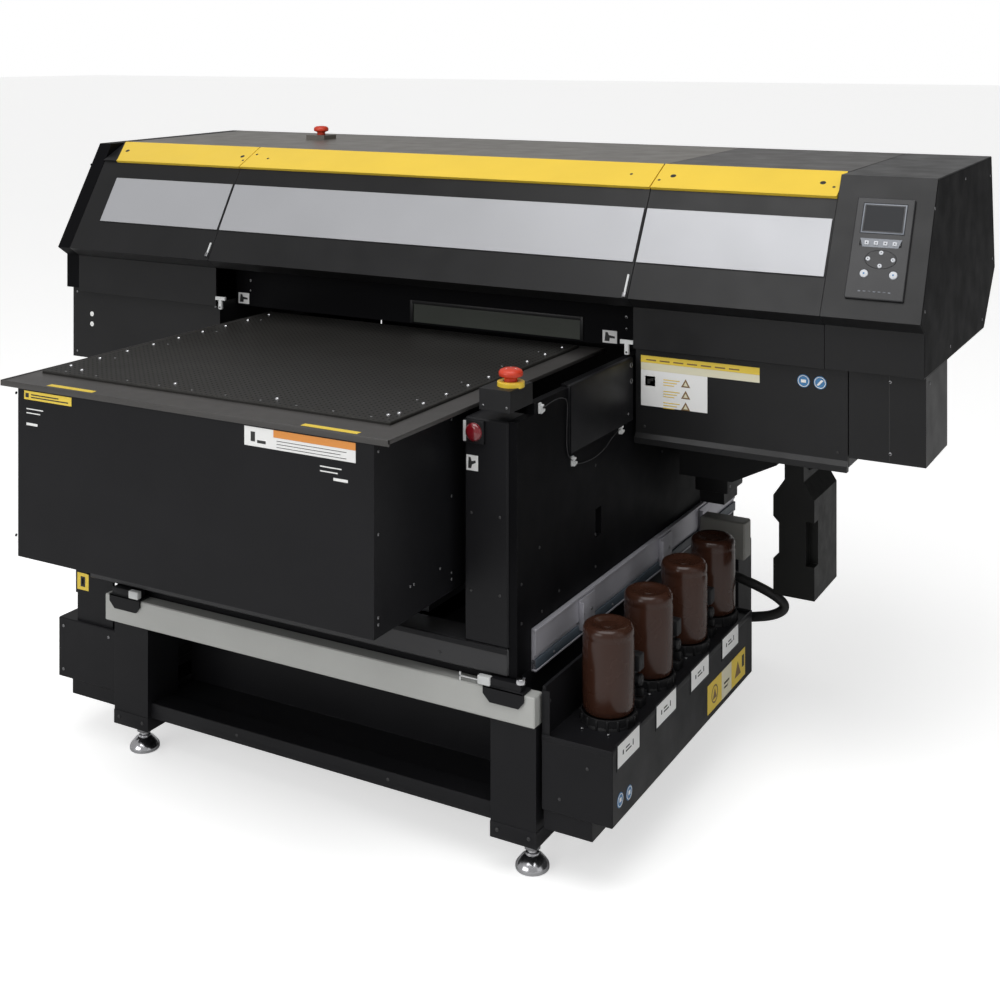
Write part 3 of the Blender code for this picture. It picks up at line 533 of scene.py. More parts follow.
# ---- Housing ----
def build_housing_details():
    right = extent("end_unit_right")[1].x
    skin = 0.0006
    far_low, far_high = extent("lower_box_far_right")
    left_box = extent("lower_box_left")[0]
    screws = Build("housing_screws", [STEEL, INK_AND_SHADE])
    screws.on("right", right + skin)
    shared = ((0.01, 1.17), (-0.075, 0.985), (0.6, 1.0), (0.15, 0.88))
    screws.screws((*shared, (0.3, 1.205), (0.575, 1.19), (0.48, 0.88)), 0.0032)
    screws.on("left", extent("end_cheek_left")[0].x)
    screws.screws([(-y, z) for y, z in (*shared, (0.575, 1.19))], 0.0032)
    screws.on("front", far_low.y)
    screws.screws([(0.993, z) for z in (0.706, 0.843)], 0.0034)
    screws.screws([(x, z) for x in (-1.118, -0.655) for z in (0.845, 0.69)], 0.003)
    screws.on("right", far_high.x)
    screws.screws([(-0.03, 0.842)], 0.0032)
    screws.done()

    # A flat outer panel closes the right end; its black is darker and flatter than the front's, and the
    # darker colour is painted shade, since the end faces away from the light.
    panel = Build("right_end_shade_panel", [SHADED_BLACK])
    panel.on("right", right)
    outline = [(0.0435, 1.2225), (-0.1055, 0.965), (-0.074, 0.943), (-0.074, 0.86), (0.503, 0.86),
               (0.632, 0.977), (0.5925, 1.231)]
    panel.plate(outline, -0.0005, skin)
    panel.done()

    seams = Build("far_box_seam", [INK_AND_SHADE])
    seams.on("front", far_low.y)
    seams.box((0.9905, 0.9925), (far_low.z + 0.001, far_high.z - 0.001), (0.0, 0.00025))
    seams.done()

    dots = Build("left_box_plugs", [WHITE])
    dots.on("front", left_box.y + 0.0145)
    for z in (0.7645, 0.7905):
        dots.cap(0.0068, 0.0012, (-1.066, z, 0.0), crown=0.0002, shoulder=0.006)
    dots.done()


def build_recess_details():
    wall_y = extent("recess_wall")[0].y
    low, high = extent("viewing_window")
    lip, cover = 0.006, 0.002
    window_frame = Build("window_frame", [HOUSING])
    window_frame.on("front", wall_y)
    upright = (low.z - cover, high.z + lip)
    for xs, zs in (((low.x - lip, low.x + cover), upright), ((high.x - cover, high.x + lip), upright),
                   ((low.x, high.x), (high.z - cover, high.z + lip))):
        window_frame.box(xs, zs, (0.0, 0.0025), 0, 0.0006)
    window_frame.done()

    labels = Build("recess_labels", [WHITE, INK_AND_SHADE, STEEL])
    labels.on("front", wall_y)
    hand = ((0.005, 0.85), (0.016, 0.85), (0.017, 0.857), (0.029, 0.857), (0.029, 0.861), (0.015, 0.863),
            (0.012, 0.869), (0.007, 0.869))
    for u in (0.362, -0.634):
        labels.label(u, 0.846, u + 0.034, 0.873, 0)
        labels.plate([(u + right, v) for right, v in hand], 0.0, PRINT, 1)
    edges = (0.418, -0.596)
    labels.screws([(x, 0.905) for x in edges], 0.0035, look=2)
    labels.screws([(x, 0.88) for x in edges], 0.0025, look=2)
    labels.done()

    # A pale folded stop bracket hangs from the seam at each end of the recess.
    brackets = Build("seam_brackets", [PALE, INK_AND_SHADE])
    top, shelf, foot = 0.873, 0.865, 0.843
    tee = ((0.0, top), (0.0, shelf), (0.01, shelf), (0.01, foot), (0.019, foot), (0.019, shelf),
           (0.029, shelf), (0.029, top))
    for x, turn in ((0.467, -1), (-0.642, 1)):
        brackets.on("front", -0.077, x)
        brackets.plate([(turn * u, v) for u, v in tee], -0.005, 0.0012)
        brackets.cap(0.0022, 0.0018, (turn * 0.0145, foot + 0.005, 0.0), 1, 12, crown=0.0002)
    brackets.done()


def build_maintenance_cover():
    low, high = extent("maintenance_cover")
    looks = [WHITE, LABEL_YELLOW, CREAM, INK_AND_SHADE, BLUE, BROWN]
    face = Build("maintenance_cover_labels", looks, "maintenance_cover")
    face.on("front", extent("lower_box_far_right")[0].y)
    left, top = low.x + 0.012, 0.8425
    tall, wide, short, band = 0.104, 0.256, 0.146, 0.03
    face.label(left, top - band, left + wide, top, 2, ((0.0, 0.52, 1.0, 1.0, 1),))
    face.label(left, top - tall, left + short, top - band, 0)
    for i in range(7):
        u = left + 0.012 + 0.03 * i
        face.label(u, top - 0.01, u + 0.022, top - 0.0072, 5, thick=PRINT)
    for i in range(3):
        z = top - 0.047 - 0.0235 * i
        for j in range(3):
            line = z - 0.0055 * j
            face.label(left + 0.05, line, left + 0.086 - 0.006 * j, line + 0.0018, 1, thick=PRINT)
        outer = [(left + 0.089, z - 0.01), (left + 0.109, z - 0.01), (left + 0.099, z + 0.007)]
        inner = [(left + 0.094, z - 0.0075), (left + 0.104, z - 0.0075), (left + 0.099, z + 0.0015)]
        face.plate(outer, 0.0, PRINT, 5)
        face.plate(inner, 0.0, 0.0008, 2)
    face.label(left + 0.01, top - 0.062, left + 0.032, top - 0.042, 2,
               ((0.2, 0.2, 0.5, 0.7, 3), (0.5, 0.5, 0.8, 0.8, 3)))
    for x in (0.824, 0.857):
        face.sticker(x, 0.8265, 4)
    face.box((0.819, 0.829), (0.8235, 0.8295), (0.0, 0.0009))
    face.plate([(0.85, 0.821), (0.855, 0.821), (0.864, 0.831), (0.859, 0.832)], 0.0, 0.0009)
    face.screws([(x, 0.695) for x in (low.x + 0.02, high.x - 0.02)], 0.003, look=3)
    face.done()


# ---- Operation panel ----
def build_panel_details():
    """Heights on the slope count from the face of the covers, and the keys start at their seat."""
    seat, mark_base = 0.0043, 0.007
    screen_low, screen_high = 1.1165, 1.1715
    function_z, arrow_z, round_z = 1.099, 1.0705, 1.044
    window = extent("panel_screen")
    x0, x1 = window[0].x, window[1].x
    half = (screen_high - screen_low) / 2 / math.cos(SLOPE)
    glass = Build("panel_dressing", [BEZEL, SCREEN, LIT])
    glass.on("slope", (screen_low + screen_high) / 2)
    for inset, low, high, look, edge in (
        (0.0005, 0.0052, 0.0064, 2, 0.0004), (0.0035, 0.006, 0.0068, 0, 0.0), (0.006, 0.0062, 0.0071, 1, 0.0),
    ):
        glass.box((x0 + inset, x1 - inset), (inset - half, half - inset), (low, high), look, edge)
    # A lighter strip lies under the row of function keys.
    glass.on("slope", function_z)
    strip = [(x0 + 0.002, 0.0095), (x0 + 0.008, -0.0085), (x1 - 0.008, -0.0085), (x1 - 0.002, 0.0095)]
    glass.plate(strip, 0.0056, 0.0062, 2)
    # A row of short printed bars.
    glass.on("slope", 1.014, 0.968)
    for i in range(7):
        u = -0.031 + 0.0095 * i
        glass.box((u, u + 0.005), (-0.0022 + 0.0006 * (i % 3), 0.0), (0.0058, 0.0063), 2)
    glass.done()

    keys = Build("function_keys", [KEY, INK_AND_SHADE, BEZEL], "function_keys")
    keys.on("slope", function_z)
    low, high = extent("function_key_bar")
    keys.box((low.x + 0.001, high.x - 0.001), (-0.003, 0.003), (seat, 0.0058), 2)
    half = 0.0042
    for i in range(4):
        x = 0.9415 + 0.018 * i
        keys.box((x - half, x + half), (-half, half), (seat, 0.008), 0, 0.0008)
        keys.cap(0.0014, 0.00825, (x, 0.0, 0.0), 1, 12, base=mark_base)
    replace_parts(keys.done(), "function_key_bar")

    pad = Build("arrow_keys", [BEZEL, KEY, INK_AND_SHADE], "arrow_keys")
    low, high = extent("arrow_key_pad")
    across, along = (high.x - low.x) / 2, 0.019
    pad.on("slope", arrow_z, (low.x + high.x) / 2)
    pad.plate([(across * 0.99 * u, along * 0.99 * v) for u, v in circle(48)], seat, 0.0062)
    key = ((0.0, 0.008), (0.0036, 0.0079), (0.0044, 0.0072), (0.0044, 0.006), (0.0, 0.006))
    for u, v in circle(4):
        spot = (0.024 * u, 0.0135 * v, 0)
        pad.turned(key, spot, look=1, steps=24)
        pad.cap(0.0016, 0.0083, spot, 2, 3, base=mark_base)
    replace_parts(pad.done(), "arrow_key_pad")

    cap = ((0.0, 0.008), (0.0064, 0.0079), (0.0078, 0.007), (0.0084, seat), (0.0, seat))
    for name in ("round_key_1", "round_key_2"):
        low, high = extent(name)
        key = Build(name.replace("key_", "key_cap_"), [KEY, BLUE], name)
        key.on("slope", round_z, (low.x + high.x) / 2)
        key.turned(cap, steps=40)
        key.cap(0.0018, 0.0082, (0, 0, 0), 1, 20, base=mark_base)
        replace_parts(key.done(), name)


# ---- Emergency stops and indicator ----
def build_estops():
    for place in ("column", "top"):
        node = f"{place}_estop_button"
        middle, radius, _ = round_node(node)
        head = Build(f"{place}_estop_head", [RED, WHITE], f"{place}_estop")
        profile = [(0.0, 0.024)] + [(radius * share, height) for share, height in (
            (0.35, 0.0238), (0.7, 0.0228), (0.9, 0.0205), (1.0, 0.017), (1.0, 0.012), (0.96, 0.0102),
            (0.6, 0.0075), (0.55, 0.006), (0.55, 0.0),
        )] + [(0.0, 0.0)]
        head.turned(profile, middle, steps=48)
        head.at(*(middle + Vector((0.0, 0.0, 0.0233))))
        for u, v in circle(3, radius * 0.42):
            head.turned(((0.0, 0.0006), (radius * 0.13, 0.0002), (0.0, -0.002)), (u, v, 0.0), look=1, steps=3)
        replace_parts(head.done(), node)

    low, high = extent("column_estop_housing")
    middle = round_node("column_estop_button")[0]
    collar = Build("column_estop_ring", [YELLOW, STEEL, INK_AND_SHADE])
    collar.ring(0.0145, 0.0249, high.z - 0.009, high.z + 0.0003, middle, 0, 48)
    collar.ring(0.014, 0.0232, high.z - 0.004, high.z + 0.001, middle, 0, 48)
    collar.on("front", low.y)
    collar.screws([(x, 0.842) for x in (low.x + 0.008, high.x - 0.01)], 0.0022, look=1)
    collar.done()

    low, high = extent("indicator_lens")
    lamp = Build("indicator_lamp", [LENS, PALE, BLACK])
    lamp.on("front", high.y, (low.x + high.x) / 2, (low.z + high.z) / 2)
    lamp.box((-0.021, 0.021), (-0.0205, 0.0205), (0.0, 0.006), 2, 0.001)
    dome = ((0.0, 0.0142), (0.008, 0.0136), (0.014, 0.0112), (0.0165, 0.008), (0.017, 0.003), (0.0, 0.003))
    lamp.turned(dome, (0.001, 0, 0), steps=40)
    lamp.box((-0.0205, -0.015), (-0.018, 0.019), (0.0, 0.0085), 1, 0.0008)
    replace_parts(lamp.done(), "indicator_lens")


def build_column_details():
    labels = Build("column_labels", [WHITE, INK_AND_SHADE, DARK_STEEL])
    labels.on("front", extent("column")[0].y)
    u, v = 0.356, 0.716
    labels.label(u, v, u + 0.0245, v + 0.028, 0)
    hand = ((0.004, 0.004), (0.01, 0.004), (0.012, 0.011), (0.02, 0.015), (0.019, 0.019), (0.011, 0.017),
            (0.009, 0.024), (0.005, 0.024))
    labels.plate([(u + right, v + up) for right, up in hand], 0.0, PRINT, 1)
    labels.screws([(x, z) for x in (0.425, 0.366) for z in (0.64, 0.5)], 0.0028, look=2)
    labels.done()

    low, high = extent("front_sill")
    lip = Build("sill_lip", [BLACK, DARK_STEEL, INK_AND_SHADE])
    lip.on("front", low.y)
    lip.box((low.x, high.x - 0.002), (high.z - 0.01, high.z + 0.0002), (0.0, 0.0025), 0, 0.001)
    lip.screws([(x, 0.374) for x in (-0.3, 0.0, 0.3)], 0.003, look=1)
    lip.done()


def build_side_wall_details():
    face = extent("body_deck")[1].x
    bits = Build("side_wall_fittings", [DARK_STEEL, INK_AND_SHADE, PALE])
    bits.on("right", face)
    spots = (
        (-0.24, 0.655), (-0.48, 0.565), (-0.24, 0.518), (-0.24, 0.455), (-0.55, 0.52), (-0.47, 0.445),
        (-0.55, 0.45), (-0.4, 0.46), (0.1, 0.6), (0.4, 0.6), (0.4, 0.46),
    )
    bits.screws(spots, 0.003)
    # Cable clips: a pale base with a hook.
    hook = ((-0.004, -0.009), (0.009, -0.006), (0.009, -0.002), (-0.001, -0.004), (-0.001, 0.003),
            (0.005, 0.004), (0.004, 0.007), (-0.004, 0.006))
    for y, z in ((-0.48, 0.82), (-0.345, 0.69), (-0.125, 0.7)):
        bits.box((y - 0.006, y + 0.004), (z - 0.009, z + 0.01), (0.0, 0.003), 2, 0.0008)
        bits.plate([(y + right, z + up) for right, up in hook], 0.0025, 0.0075, 2)
    bits.done()
    low_wire = [(0.0038, y, z) for y, z in (
        (-0.345, 0.684), (-0.29, 0.672), (-0.21, 0.676), (-0.16, 0.698), (-0.125, 0.702))]
    top_wire = ((0.006, -0.48, 0.82), (0.007, -0.44, 0.826), (0.007, -0.4, 0.824), (0.006, -0.374, 0.812),
                (0.002, -0.372, 0.76), (0.002, -0.371, 0.7), (0.004, -0.345, 0.69))
    for name, path in (("clip_wire_low", low_wire), ("clip_wire_top", top_wire)):
        wire(name, "machine", [(face + out, y, z) for out, y, z in path], 0.0008, BEZEL)

    # The raised cover has rolled edges, and plugged holes near the gantry.
    cover_x, skin = extent("side_wall_right")[1].x, 0.0006
    cover = Build("wall_cover_skin", [BLACK, STEEL, INK_AND_SHADE])
    cover.box((cover_x - 0.01, cover_x + skin), (-0.3625, -0.0675), (0.7055, 0.8385), 0, 0.004)
    cover.on("right", cover_x + skin)
    for z in (0.823, 0.79):
        cover.ring(0.0042, 0.0058, -0.001, 0.0008, (-0.08, z), 1, 24)
        cover.cap(0.0042, 0.0003, (-0.08, z, 0.0), 2, 20, crown=0.0001, shoulder=0.004, base=-0.001)
    cover.screws([(-0.095, 0.725)], 0.0028, look=1)
    cover.done()


# ---- Table ----
def build_table_details():
    low, high = extent("bed_plate")
    pin = ((0.0, 0.0028), (0.003, 0.0026), (0.0042, 0.001), (0.0045, 0.0), (0.0, 0.0))
    pins = Build("bed_screws", [CHROME, INK_AND_SHADE, STEEL], "table")
    pins.on("top", high.z)
    rows, columns = 9, 10
    for i in range(rows):
        y = low.y + 0.06 + (high.y - low.y - 0.1) * i / (rows - 1)
        for x in (low.x + 0.02, high.x - 0.02):
            pins.turned(pin, (x, y, 0.0), steps=16)
        if i % 2:
            pins.screws([(x, y + 0.018) for x in (low.x + 0.045, high.x - 0.045)], 0.0026, look=2)
    for i in range(columns):
        x = low.x + 0.05 + (high.x - low.x - 0.1) * i / (columns - 1)
        pins.screws([(x, low.y + 0.016)], 0.0024, look=2)
        if i % 3 == 0:
            pins.turned(pin, (x + 0.02, low.y + 0.04, 0.0), steps=16)
    pins.done()

    # A rolled rim stands just outside the edge of the flange.
    low, high = extent("table_flange")
    skin, wide = 0.0005, 0.0025
    x0, x1, y0, y1, top = low.x - skin, high.x + skin, low.y - skin, high.y, high.z
    rim = Build("flange_rim", [DARK, LABEL_YELLOW], "table")
    rim.box((x0, x1), (y0, y0 + wide), (top - 0.01, top + 0.0015), 0, 0.0006)
    for xs in ((x0, x0 + wide), (x1 - wide, x1)):
        rim.box(xs, (y0, y1), (top - 0.006, top + 0.0015), 0, 0.0006)
    rim.on("top", top)
    for u in (-0.449, 0.16):
        rim.label(u, y0 + 0.011, u + 0.118, y0 + 0.025, 1, thick=0.0003)
    rim.done()

    low, high = extent("front_skirt_box")
    face = Build("skirt_labels", [LABEL_YELLOW, WHITE, ORANGE, INK_AND_SHADE], "table")
    face.on("front", low.y)
    yellow_bars = [(0.03, 0.25, 0.1, 0.75, 3)]
    yellow_bars += [(0.15, 0.25 + 0.3 * i, 0.93 - 0.2 * i, 0.38 + 0.3 * i, 3) for i in range(2)]
    face.label(-0.5, 0.795, -0.374, 0.812, 0, yellow_bars)
    white_bars = [(0.27, 0.62, 1.0, 1.0, 2), (0.06, 0.25, 0.1, 0.75, 3), (0.12, 0.2, 0.2, 0.35, 3)]
    white_bars += [(0.3, 0.12 + 0.16 * i, 0.92 - 0.05 * (i % 2), 0.15 + 0.16 * i, 3) for i in range(3)]
    face.label(0.044, 0.778, 0.282, 0.812, 1, white_bars)
    for u, v in ((-0.494, 0.776), (0.208, 0.762)):
        for i in range(2):
            line = v - 0.008 * i
            face.label(u, line, u + 0.045 - 0.008 * i, line + 0.0022, 1, thick=0.00025)
    for u, v in ((-0.494, 0.745), (0.236, 0.742)):
        face.label(u, v, u + 0.03, v + 0.005, 1, thick=0.00025)
    face.done()

    side = Build("skirt_screws", [STEEL, INK_AND_SHADE], "table")
    edges = (-0.8, -0.56)
    side.on("right", high.x)
    side.screws([(y, z) for y in edges for z in (0.8, 0.66, 0.52, 0.508)], 0.003)
    side.screws([(y, 0.54) for y in (-0.7, -0.688, -0.6)], 0.0028)
    side.on("left", low.x)
    side.screws([(-y, z) for y in edges for z in (0.8, 0.52)], 0.003)
    side.done()


# ---- Stand ----
def build_feet():
    nut = ((0.0, 0.048), (0.015, 0.048), (0.0165, 0.0465), (0.0165, 0.0375), (0.015, 0.036), (0.0, 0.036))
    for place in ("front_left", "front_right", "rear_left", "rear_right"):
        node = f"levelling_foot_{place}"
        middle, radius, top = round_node(node)
        foot = Build(f"foot_{place}", [CHROME, STEEL], f"foot_{place}")
        profile = (
            (0.0, top), (0.0088, top), (0.0088, 0.03), (0.012, 0.029), (0.013, 0.026), (0.02, 0.0215),
            (radius * 0.86, 0.0135), (radius * 0.97, 0.009), (radius, 0.006), (radius, 0.0015),
            (radius * 0.97, 0.0), (0.0, 0.0),
        )
        foot.turned(profile, middle, steps=48)
        foot.at(*middle)
        foot.turned(nut, look=1, steps=6)
        for i in range(8):
            z = top - 0.002 - 0.0018 * i
            foot.turned(((0.0, z), (0.0094, z - 0.0004), (0.0, z - 0.0012)), look=1, steps=24)
        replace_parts(foot.done(), node)


def build_beam_fittings():
    """A black clamp near each end of the front beam, with a hanging cheek and a foot on top of the beam."""
    low, high = extent("front_beam")
    front, top = low.y, high.z
    fittings = Build("beam_fittings", [BLACK, PALE, CHROME])
    for x0, x1 in ((-0.5, -0.418), (0.397, 0.479)):
        fittings.on("front", front, 0.0, top)
        cheek = [(x0 + 0.014, -0.024), (x1 - 0.01, -0.024), (x1, -0.012), (x1, 0.004), (x0, 0.004),
                 (x0, -0.01)]
        fittings.plate(cheek, 0.0003, 0.005)
        fittings.at(0.0, front, top)
        fittings.box((x0, x1), (-0.005, 0.026), (0.0003, 0.005), 0, 0.001)
        fittings.box((x0 + 0.006, x1 - 0.006), (-0.003, 0.02), (0.004, 0.019), 0, 0.001)
    for x in (-0.434, 0.399):
        fittings.box((x - 0.013, x + 0.013), (-0.006, 0.006), (0.004, 0.02), 1, 0.002)
    # The stop wire and its post.
    fittings.box((0.346, 0.396), (-0.001, 0.001), (0.008, 0.01), 1)
    fittings.box((0.346, 0.349), (-0.001, 0.001), (0.0003, 0.016), 1)
    fittings.at(0.469, front + 0.006, top + 0.018)
    dome = ((0.0, 0.01), (0.006, 0.0098), (0.0085, 0.008), (0.0095, 0.004), (0.0095, 0.0), (0.0, 0.0))
    fittings.turned(dome, look=2, steps=24)
    fittings.done()


def build_leg_plates():
    front = extent("stand_frame")[0].y
    leg_x, leg_y, half = 0.452, 0.524, 0.0472
    plates = Build("leg_plates", [BLACK, DARK_STEEL, INK_AND_SHADE])
    for x in (-leg_x, leg_x):
        for y in (-leg_y, leg_y):
            plates.at(x, y)
            plates.box((-half, half), (-half, half), (0.0657, 0.095), 0, 0.0012)
    plates.on("front", front - 0.0015)
    plates.screws([(x, 0.082) for x in (-0.484, -0.42, 0.42, 0.484)], 0.0036, look=1)
    plates.on("front", front + 0.01)
    plates.box((-0.405, 0.405), (0.0925, 0.1225), (-0.0005, 0.0008), 0, 0.0006)
    plates.screws([(x, 0.108) for x in (-0.18, 0.18)], 0.0032, look=1)
    plates.done()


def build_rail_details():
    low, high = extent("side_rail_right")
    face, half = high.x, 0.034
    middle_z = (low.z + high.z) / 2
    joints = Build("rail_joint_plates", [RAIL_PAINT, STEEL, INK_AND_SHADE])
    for y in (-0.3, 0.095, 0.33):
        joints.at()
        bottom = low.z + 0.012
        joints.box((face - 0.001, face + 0.0035), (y - half, y + half), (bottom, high.z - 0.006), 0, 0.001)
        joints.box((face - 0.001, face + 0.011), (y - half, y - 0.03), (bottom, high.z - 0.01), 0, 0.0006)
        joints.on("right", face + 0.0035)
        joints.screws([(y + step, middle_z) for step in (-0.018, 0.018)], 0.0035, look=1)
    joints.at()
    for zs in ((high.z - 0.003, high.z + 0.0015), (low.z - 0.0005, low.z + 0.003)):
        joints.box((low.x + 0.001, face + 0.0025), (low.y - 0.002, high.y - 0.01), zs, 0, 0.0006)
    joints.done()

    skin = 0.0014
    skirt = Build("rail_skirt", [BLUE_GREY, STEEL])
    skirt.box((low.x, face + skin), (low.y, high.y), (low.z - 0.0008, low.z + 0.0205), 0, 0.0005)
    skirt.on("right", face + skin)
    skirt.screws([(y, low.z + 0.0095) for y in (-0.44, -0.18, 0.08, 0.34)], 0.003, look=1)
    skirt.done()


# ---- Ink unit ----
INK_DECK = 0.262    # height of the flat top that the bottles stand on


def build_bottles():
    for i in range(4):
        node = f"ink_bottle_{i + 1}"
        middle, radius, height = round_node(node)
        shoulder = ((0.5, 0.0045), (0.62, 0.001), (0.8, 0.0), (0.92, 0.003), (0.985, 0.009), (1.0, 0.017),
                    (0.985, 0.0215), (0.985, 0.0245), (1.0, 0.028))
        neck = ((1.0, 0.02), (0.97, 0.01), (0.86, 0.005), (0.62, 0.0025), (0.5, 0.0015), (0.5, 0.0))
        outline = [(0.0, height - 0.0045)]
        outline += [(radius * share, height - down) for share, down in shoulder]
        outline += [(radius * share, up) for share, up in neck]
        bottle = Build(f"bottle_body_{i + 1}", [BOTTLE], f"bottle_{i + 1}")
        bottle.turned(outline + [(0.0, 0.0)], middle, steps=64)
        bottle.at(*(middle + Vector((0, 0, height - 0.0045))))
        bottle.turned(((0.0, 0.0008), (radius * 0.3, 0.0008), (radius * 0.3, 0.0), (0.0, -0.001)))
        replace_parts(bottle.done(sharp=50.0), node)
        build_socket(i + 1, middle)


def build_socket(number, middle):
    """The ring a bottle screws into, and the lock lever that stands behind it."""
    socket = Build(f"socket_{number}", [PLASTIC, STEEL, DARK_STEEL])
    socket.at(middle.x, middle.y, INK_DECK)
    lip = 0.0122
    dish = ((0.0, lip - 0.0008), (0.046, lip - 0.0008), (0.049, 0.009), (0.051, 0.0), (0.0, 0.0))
    socket.turned(dish, steps=48)
    socket.ring(0.0476, 0.0502, 0.006, lip + 0.007, (0.0, 0.0), 0, 48)
    for u, v in circle(16, 0.0504):
        socket.box((u - 0.002, u + 0.002), (v - 0.002, v + 0.002), (0.0, lip + 0.005), 0, 0.0006)
    rivet = ((0.0, 0.0028), (0.003, 0.0024), (0.0036, 0.001), (0.0, -0.001))
    for u in (-0.026, 0.026):
        socket.turned(rivet, (u, -0.056, 0.0), look=1, steps=12)
    if number < 4:
        # Post, foot, handle and catch of the lever, then its pivot.
        for xs, ys, zs, edge in (
            ((-0.006, 0.022), (0.068, 0.084), (0.0, 0.08), 0.002),
            ((-0.02, 0.036), (0.064, 0.09), (0.0, 0.016), 0.0016),
            ((0.012, 0.034), (0.064, 0.088), (0.066, 0.098), 0.004),
            ((0.02, 0.036), (0.072, 0.08), (0.02, 0.034), 0.0016),
        ):
            socket.box(xs, ys, zs, 0, edge)
        pivot = (0.022, 0.076, 0.048)
        knob = ((0.0, 0.012), (0.009, 0.0115), (0.0115, 0.009), (0.0115, -0.004), (0.0, -0.004))
        pin = ((0.0, 0.0135), (0.0032, 0.013), (0.0032, 0.0), (0.0, 0.0))
        socket.turned(knob, pivot, sideways=True, steps=24)
        socket.turned(pin, pivot, sideways=True, look=2, steps=12)
    socket.done(sharp=40.0)


def build_tray_details():
    low, high = extent("ink_tray")
    right = high.x
    labels = Build("bottle_labels", [WHITE, INK_AND_SHADE, BLACK, LABEL_YELLOW, BROWN, BLUE, CREAM])
    number_bars = ((0.22, 0.42, 0.27, 0.62, 1), (0.36, 0.4, 0.62, 0.47, 1), (0.36, 0.56, 0.54, 0.63, 1),
                   (0.68, 0.4, 0.72, 0.66, 1))
    for i in range(4):
        y = -0.496 + 0.1725 * i
        labels.on("right", right)
        labels.box((y - 0.05, y + 0.05), (0.226, INK_DECK + 0.012), (-0.002, 0.001), 2, 0.0006)
        labels.on("right", right + 0.001)
        labels.label(y - 0.0465, 0.231, y + 0.0465, 0.27, 0, number_bars)
    labels.on("right", right)
    labels.label(-0.108, 0.148, 0.114, 0.206, 3,
                 ((0.36, 0.0, 0.62, 1.0, 6), (0.42, 0.45, 0.56, 0.52, 1), (0.42, 0.3, 0.52, 0.36, 1)))
    labels.ring(0.015, 0.018, 0.0, 0.0007, (-0.068, 0.177), 4, 28)
    labels.plate([(-0.079, 0.168), (-0.057, 0.168), (-0.068, 0.188)], 0.0, 0.0008, 4)
    labels.plate([(0.05, 0.162), (0.086, 0.162), (0.068, 0.192)], 0.0, 0.0007, 4)
    labels.plate([(0.094, 0.17), (0.106, 0.17), (0.106, 0.194), (0.094, 0.194)], 0.0, 0.0007, 1)
    for y, z in ((-0.53, 0.172), (-0.492, 0.168)):
        labels.sticker(y, z, 5)
        labels.box((y - 0.004, y + 0.004), (z - 0.003, z + 0.004), (0.0, 0.0009))
    labels.done()

    skin, wide = 0.0004, 0.0025
    inside = (low.x + 0.001, right - 0.001)
    shell = Build("tray_rim", [BLACK, DARK_STEEL])
    for xs, ys in (((right - wide, right + skin), (low.y + 0.001, high.y - 0.001)),
                   (inside, (low.y - skin, low.y + wide)), (inside, (high.y - wide, high.y + skin))):
        shell.box(xs, ys, (INK_DECK - 0.004, INK_DECK + 0.0065), 0, 0.0006)
    shell.box((low.x + 0.0005, low.x + 0.016), (low.y + 0.0015, low.y + 0.0045), (INK_DECK, 0.345), 0, 0.0006)
    shell.on("front", low.y)
    shell.screws(((0.594, INK_DECK - 0.034), (0.54, INK_DECK - 0.1)), 0.003, look=1)
    shell.on("right", low.x + 0.007)
    shell.screws([(y, 0.32) for y in (-0.54, -0.348, -0.164, 0.02)], 0.0028, look=1)
    shell.done()


# ---- Waste side, left side and back ----
def build_waste_side():
    top, radius = extent("waste_tank")[1].z, 0.0255
    cap = Build("tank_cap", [TANK], "waste_tank")
    cap.at(0.776, 0.08)
    skirt = ((0.0, top), (0.024, top), (radius, top - 0.002), (radius, top - 0.024), (0.0225, top - 0.026),
             (0.0, top - 0.026))
    cap.turned(skirt, steps=40)
    rib = ((0.0, top - 0.002), (0.0016, top - 0.003), (0.0016, top - 0.023), (0.0, top - 0.024))
    for u, v in circle(24, radius):
        cap.turned(rib, (u, v, 0), steps=6)
    cap.done()

    # The waste hose makes a hairpin turn behind the ink tray.
    hose_y = 0.2
    bends = ((0.515, 0.328), (0.56, 0.326), (0.625, 0.312), (0.68, 0.294), (0.708, 0.274), (0.68, 0.25),
             (0.625, 0.236), (0.56, 0.223), (0.515, 0.222))
    hose = wire("waste_hose_curve", "machine", [(x, hose_y, z) for x, z in bends], 0.0105, RUBBER)
    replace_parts(hose, "waste_hose")

    # Fittings that hold the two hose ends to a block on the stand.
    block = Build("hose_block", [PLASTIC])
    for zs in ((0.28, 0.348), (0.205, 0.24)):
        block.box((0.488, 0.516), (hose_y - 0.02, hose_y + 0.02), zs, 0, 0.002)
    collar = ((0.0, 0.022), (0.0118, 0.022), (0.013, 0.02), (0.013, 0.0), (0.0, 0.0))
    for z in (0.328, 0.222):
        block.turned(collar, (0.514, hose_y, z), sideways=True, steps=24)
    block.done()

    # The maintenance drive hangs under the right lower box.
    drive = Build("maintenance_drive", [PLASTIC, STEEL, INK_AND_SHADE])
    drive.on("front", 0.15)
    cover = [(0.478, 0.6675), (0.478, 0.54), (0.6, 0.54), (0.7, 0.59), (0.7, 0.6675)]
    drive.plate(cover, -0.2, 0.0)
    drive.at()
    drive.box((0.495, 0.572), (0.2, 0.3), (0.495, 0.632), 0, 0.003)
    drive.plate([(0.505, 0.205), (0.562, 0.205), (0.562, 0.29), (0.505, 0.29)], 0.47, 0.4955)
    drive.on("right", 0.572)
    drive.screws([(y, z) for y in (0.215, 0.285) for z in (0.51, 0.615)], 0.003, look=1)
    drive.done()


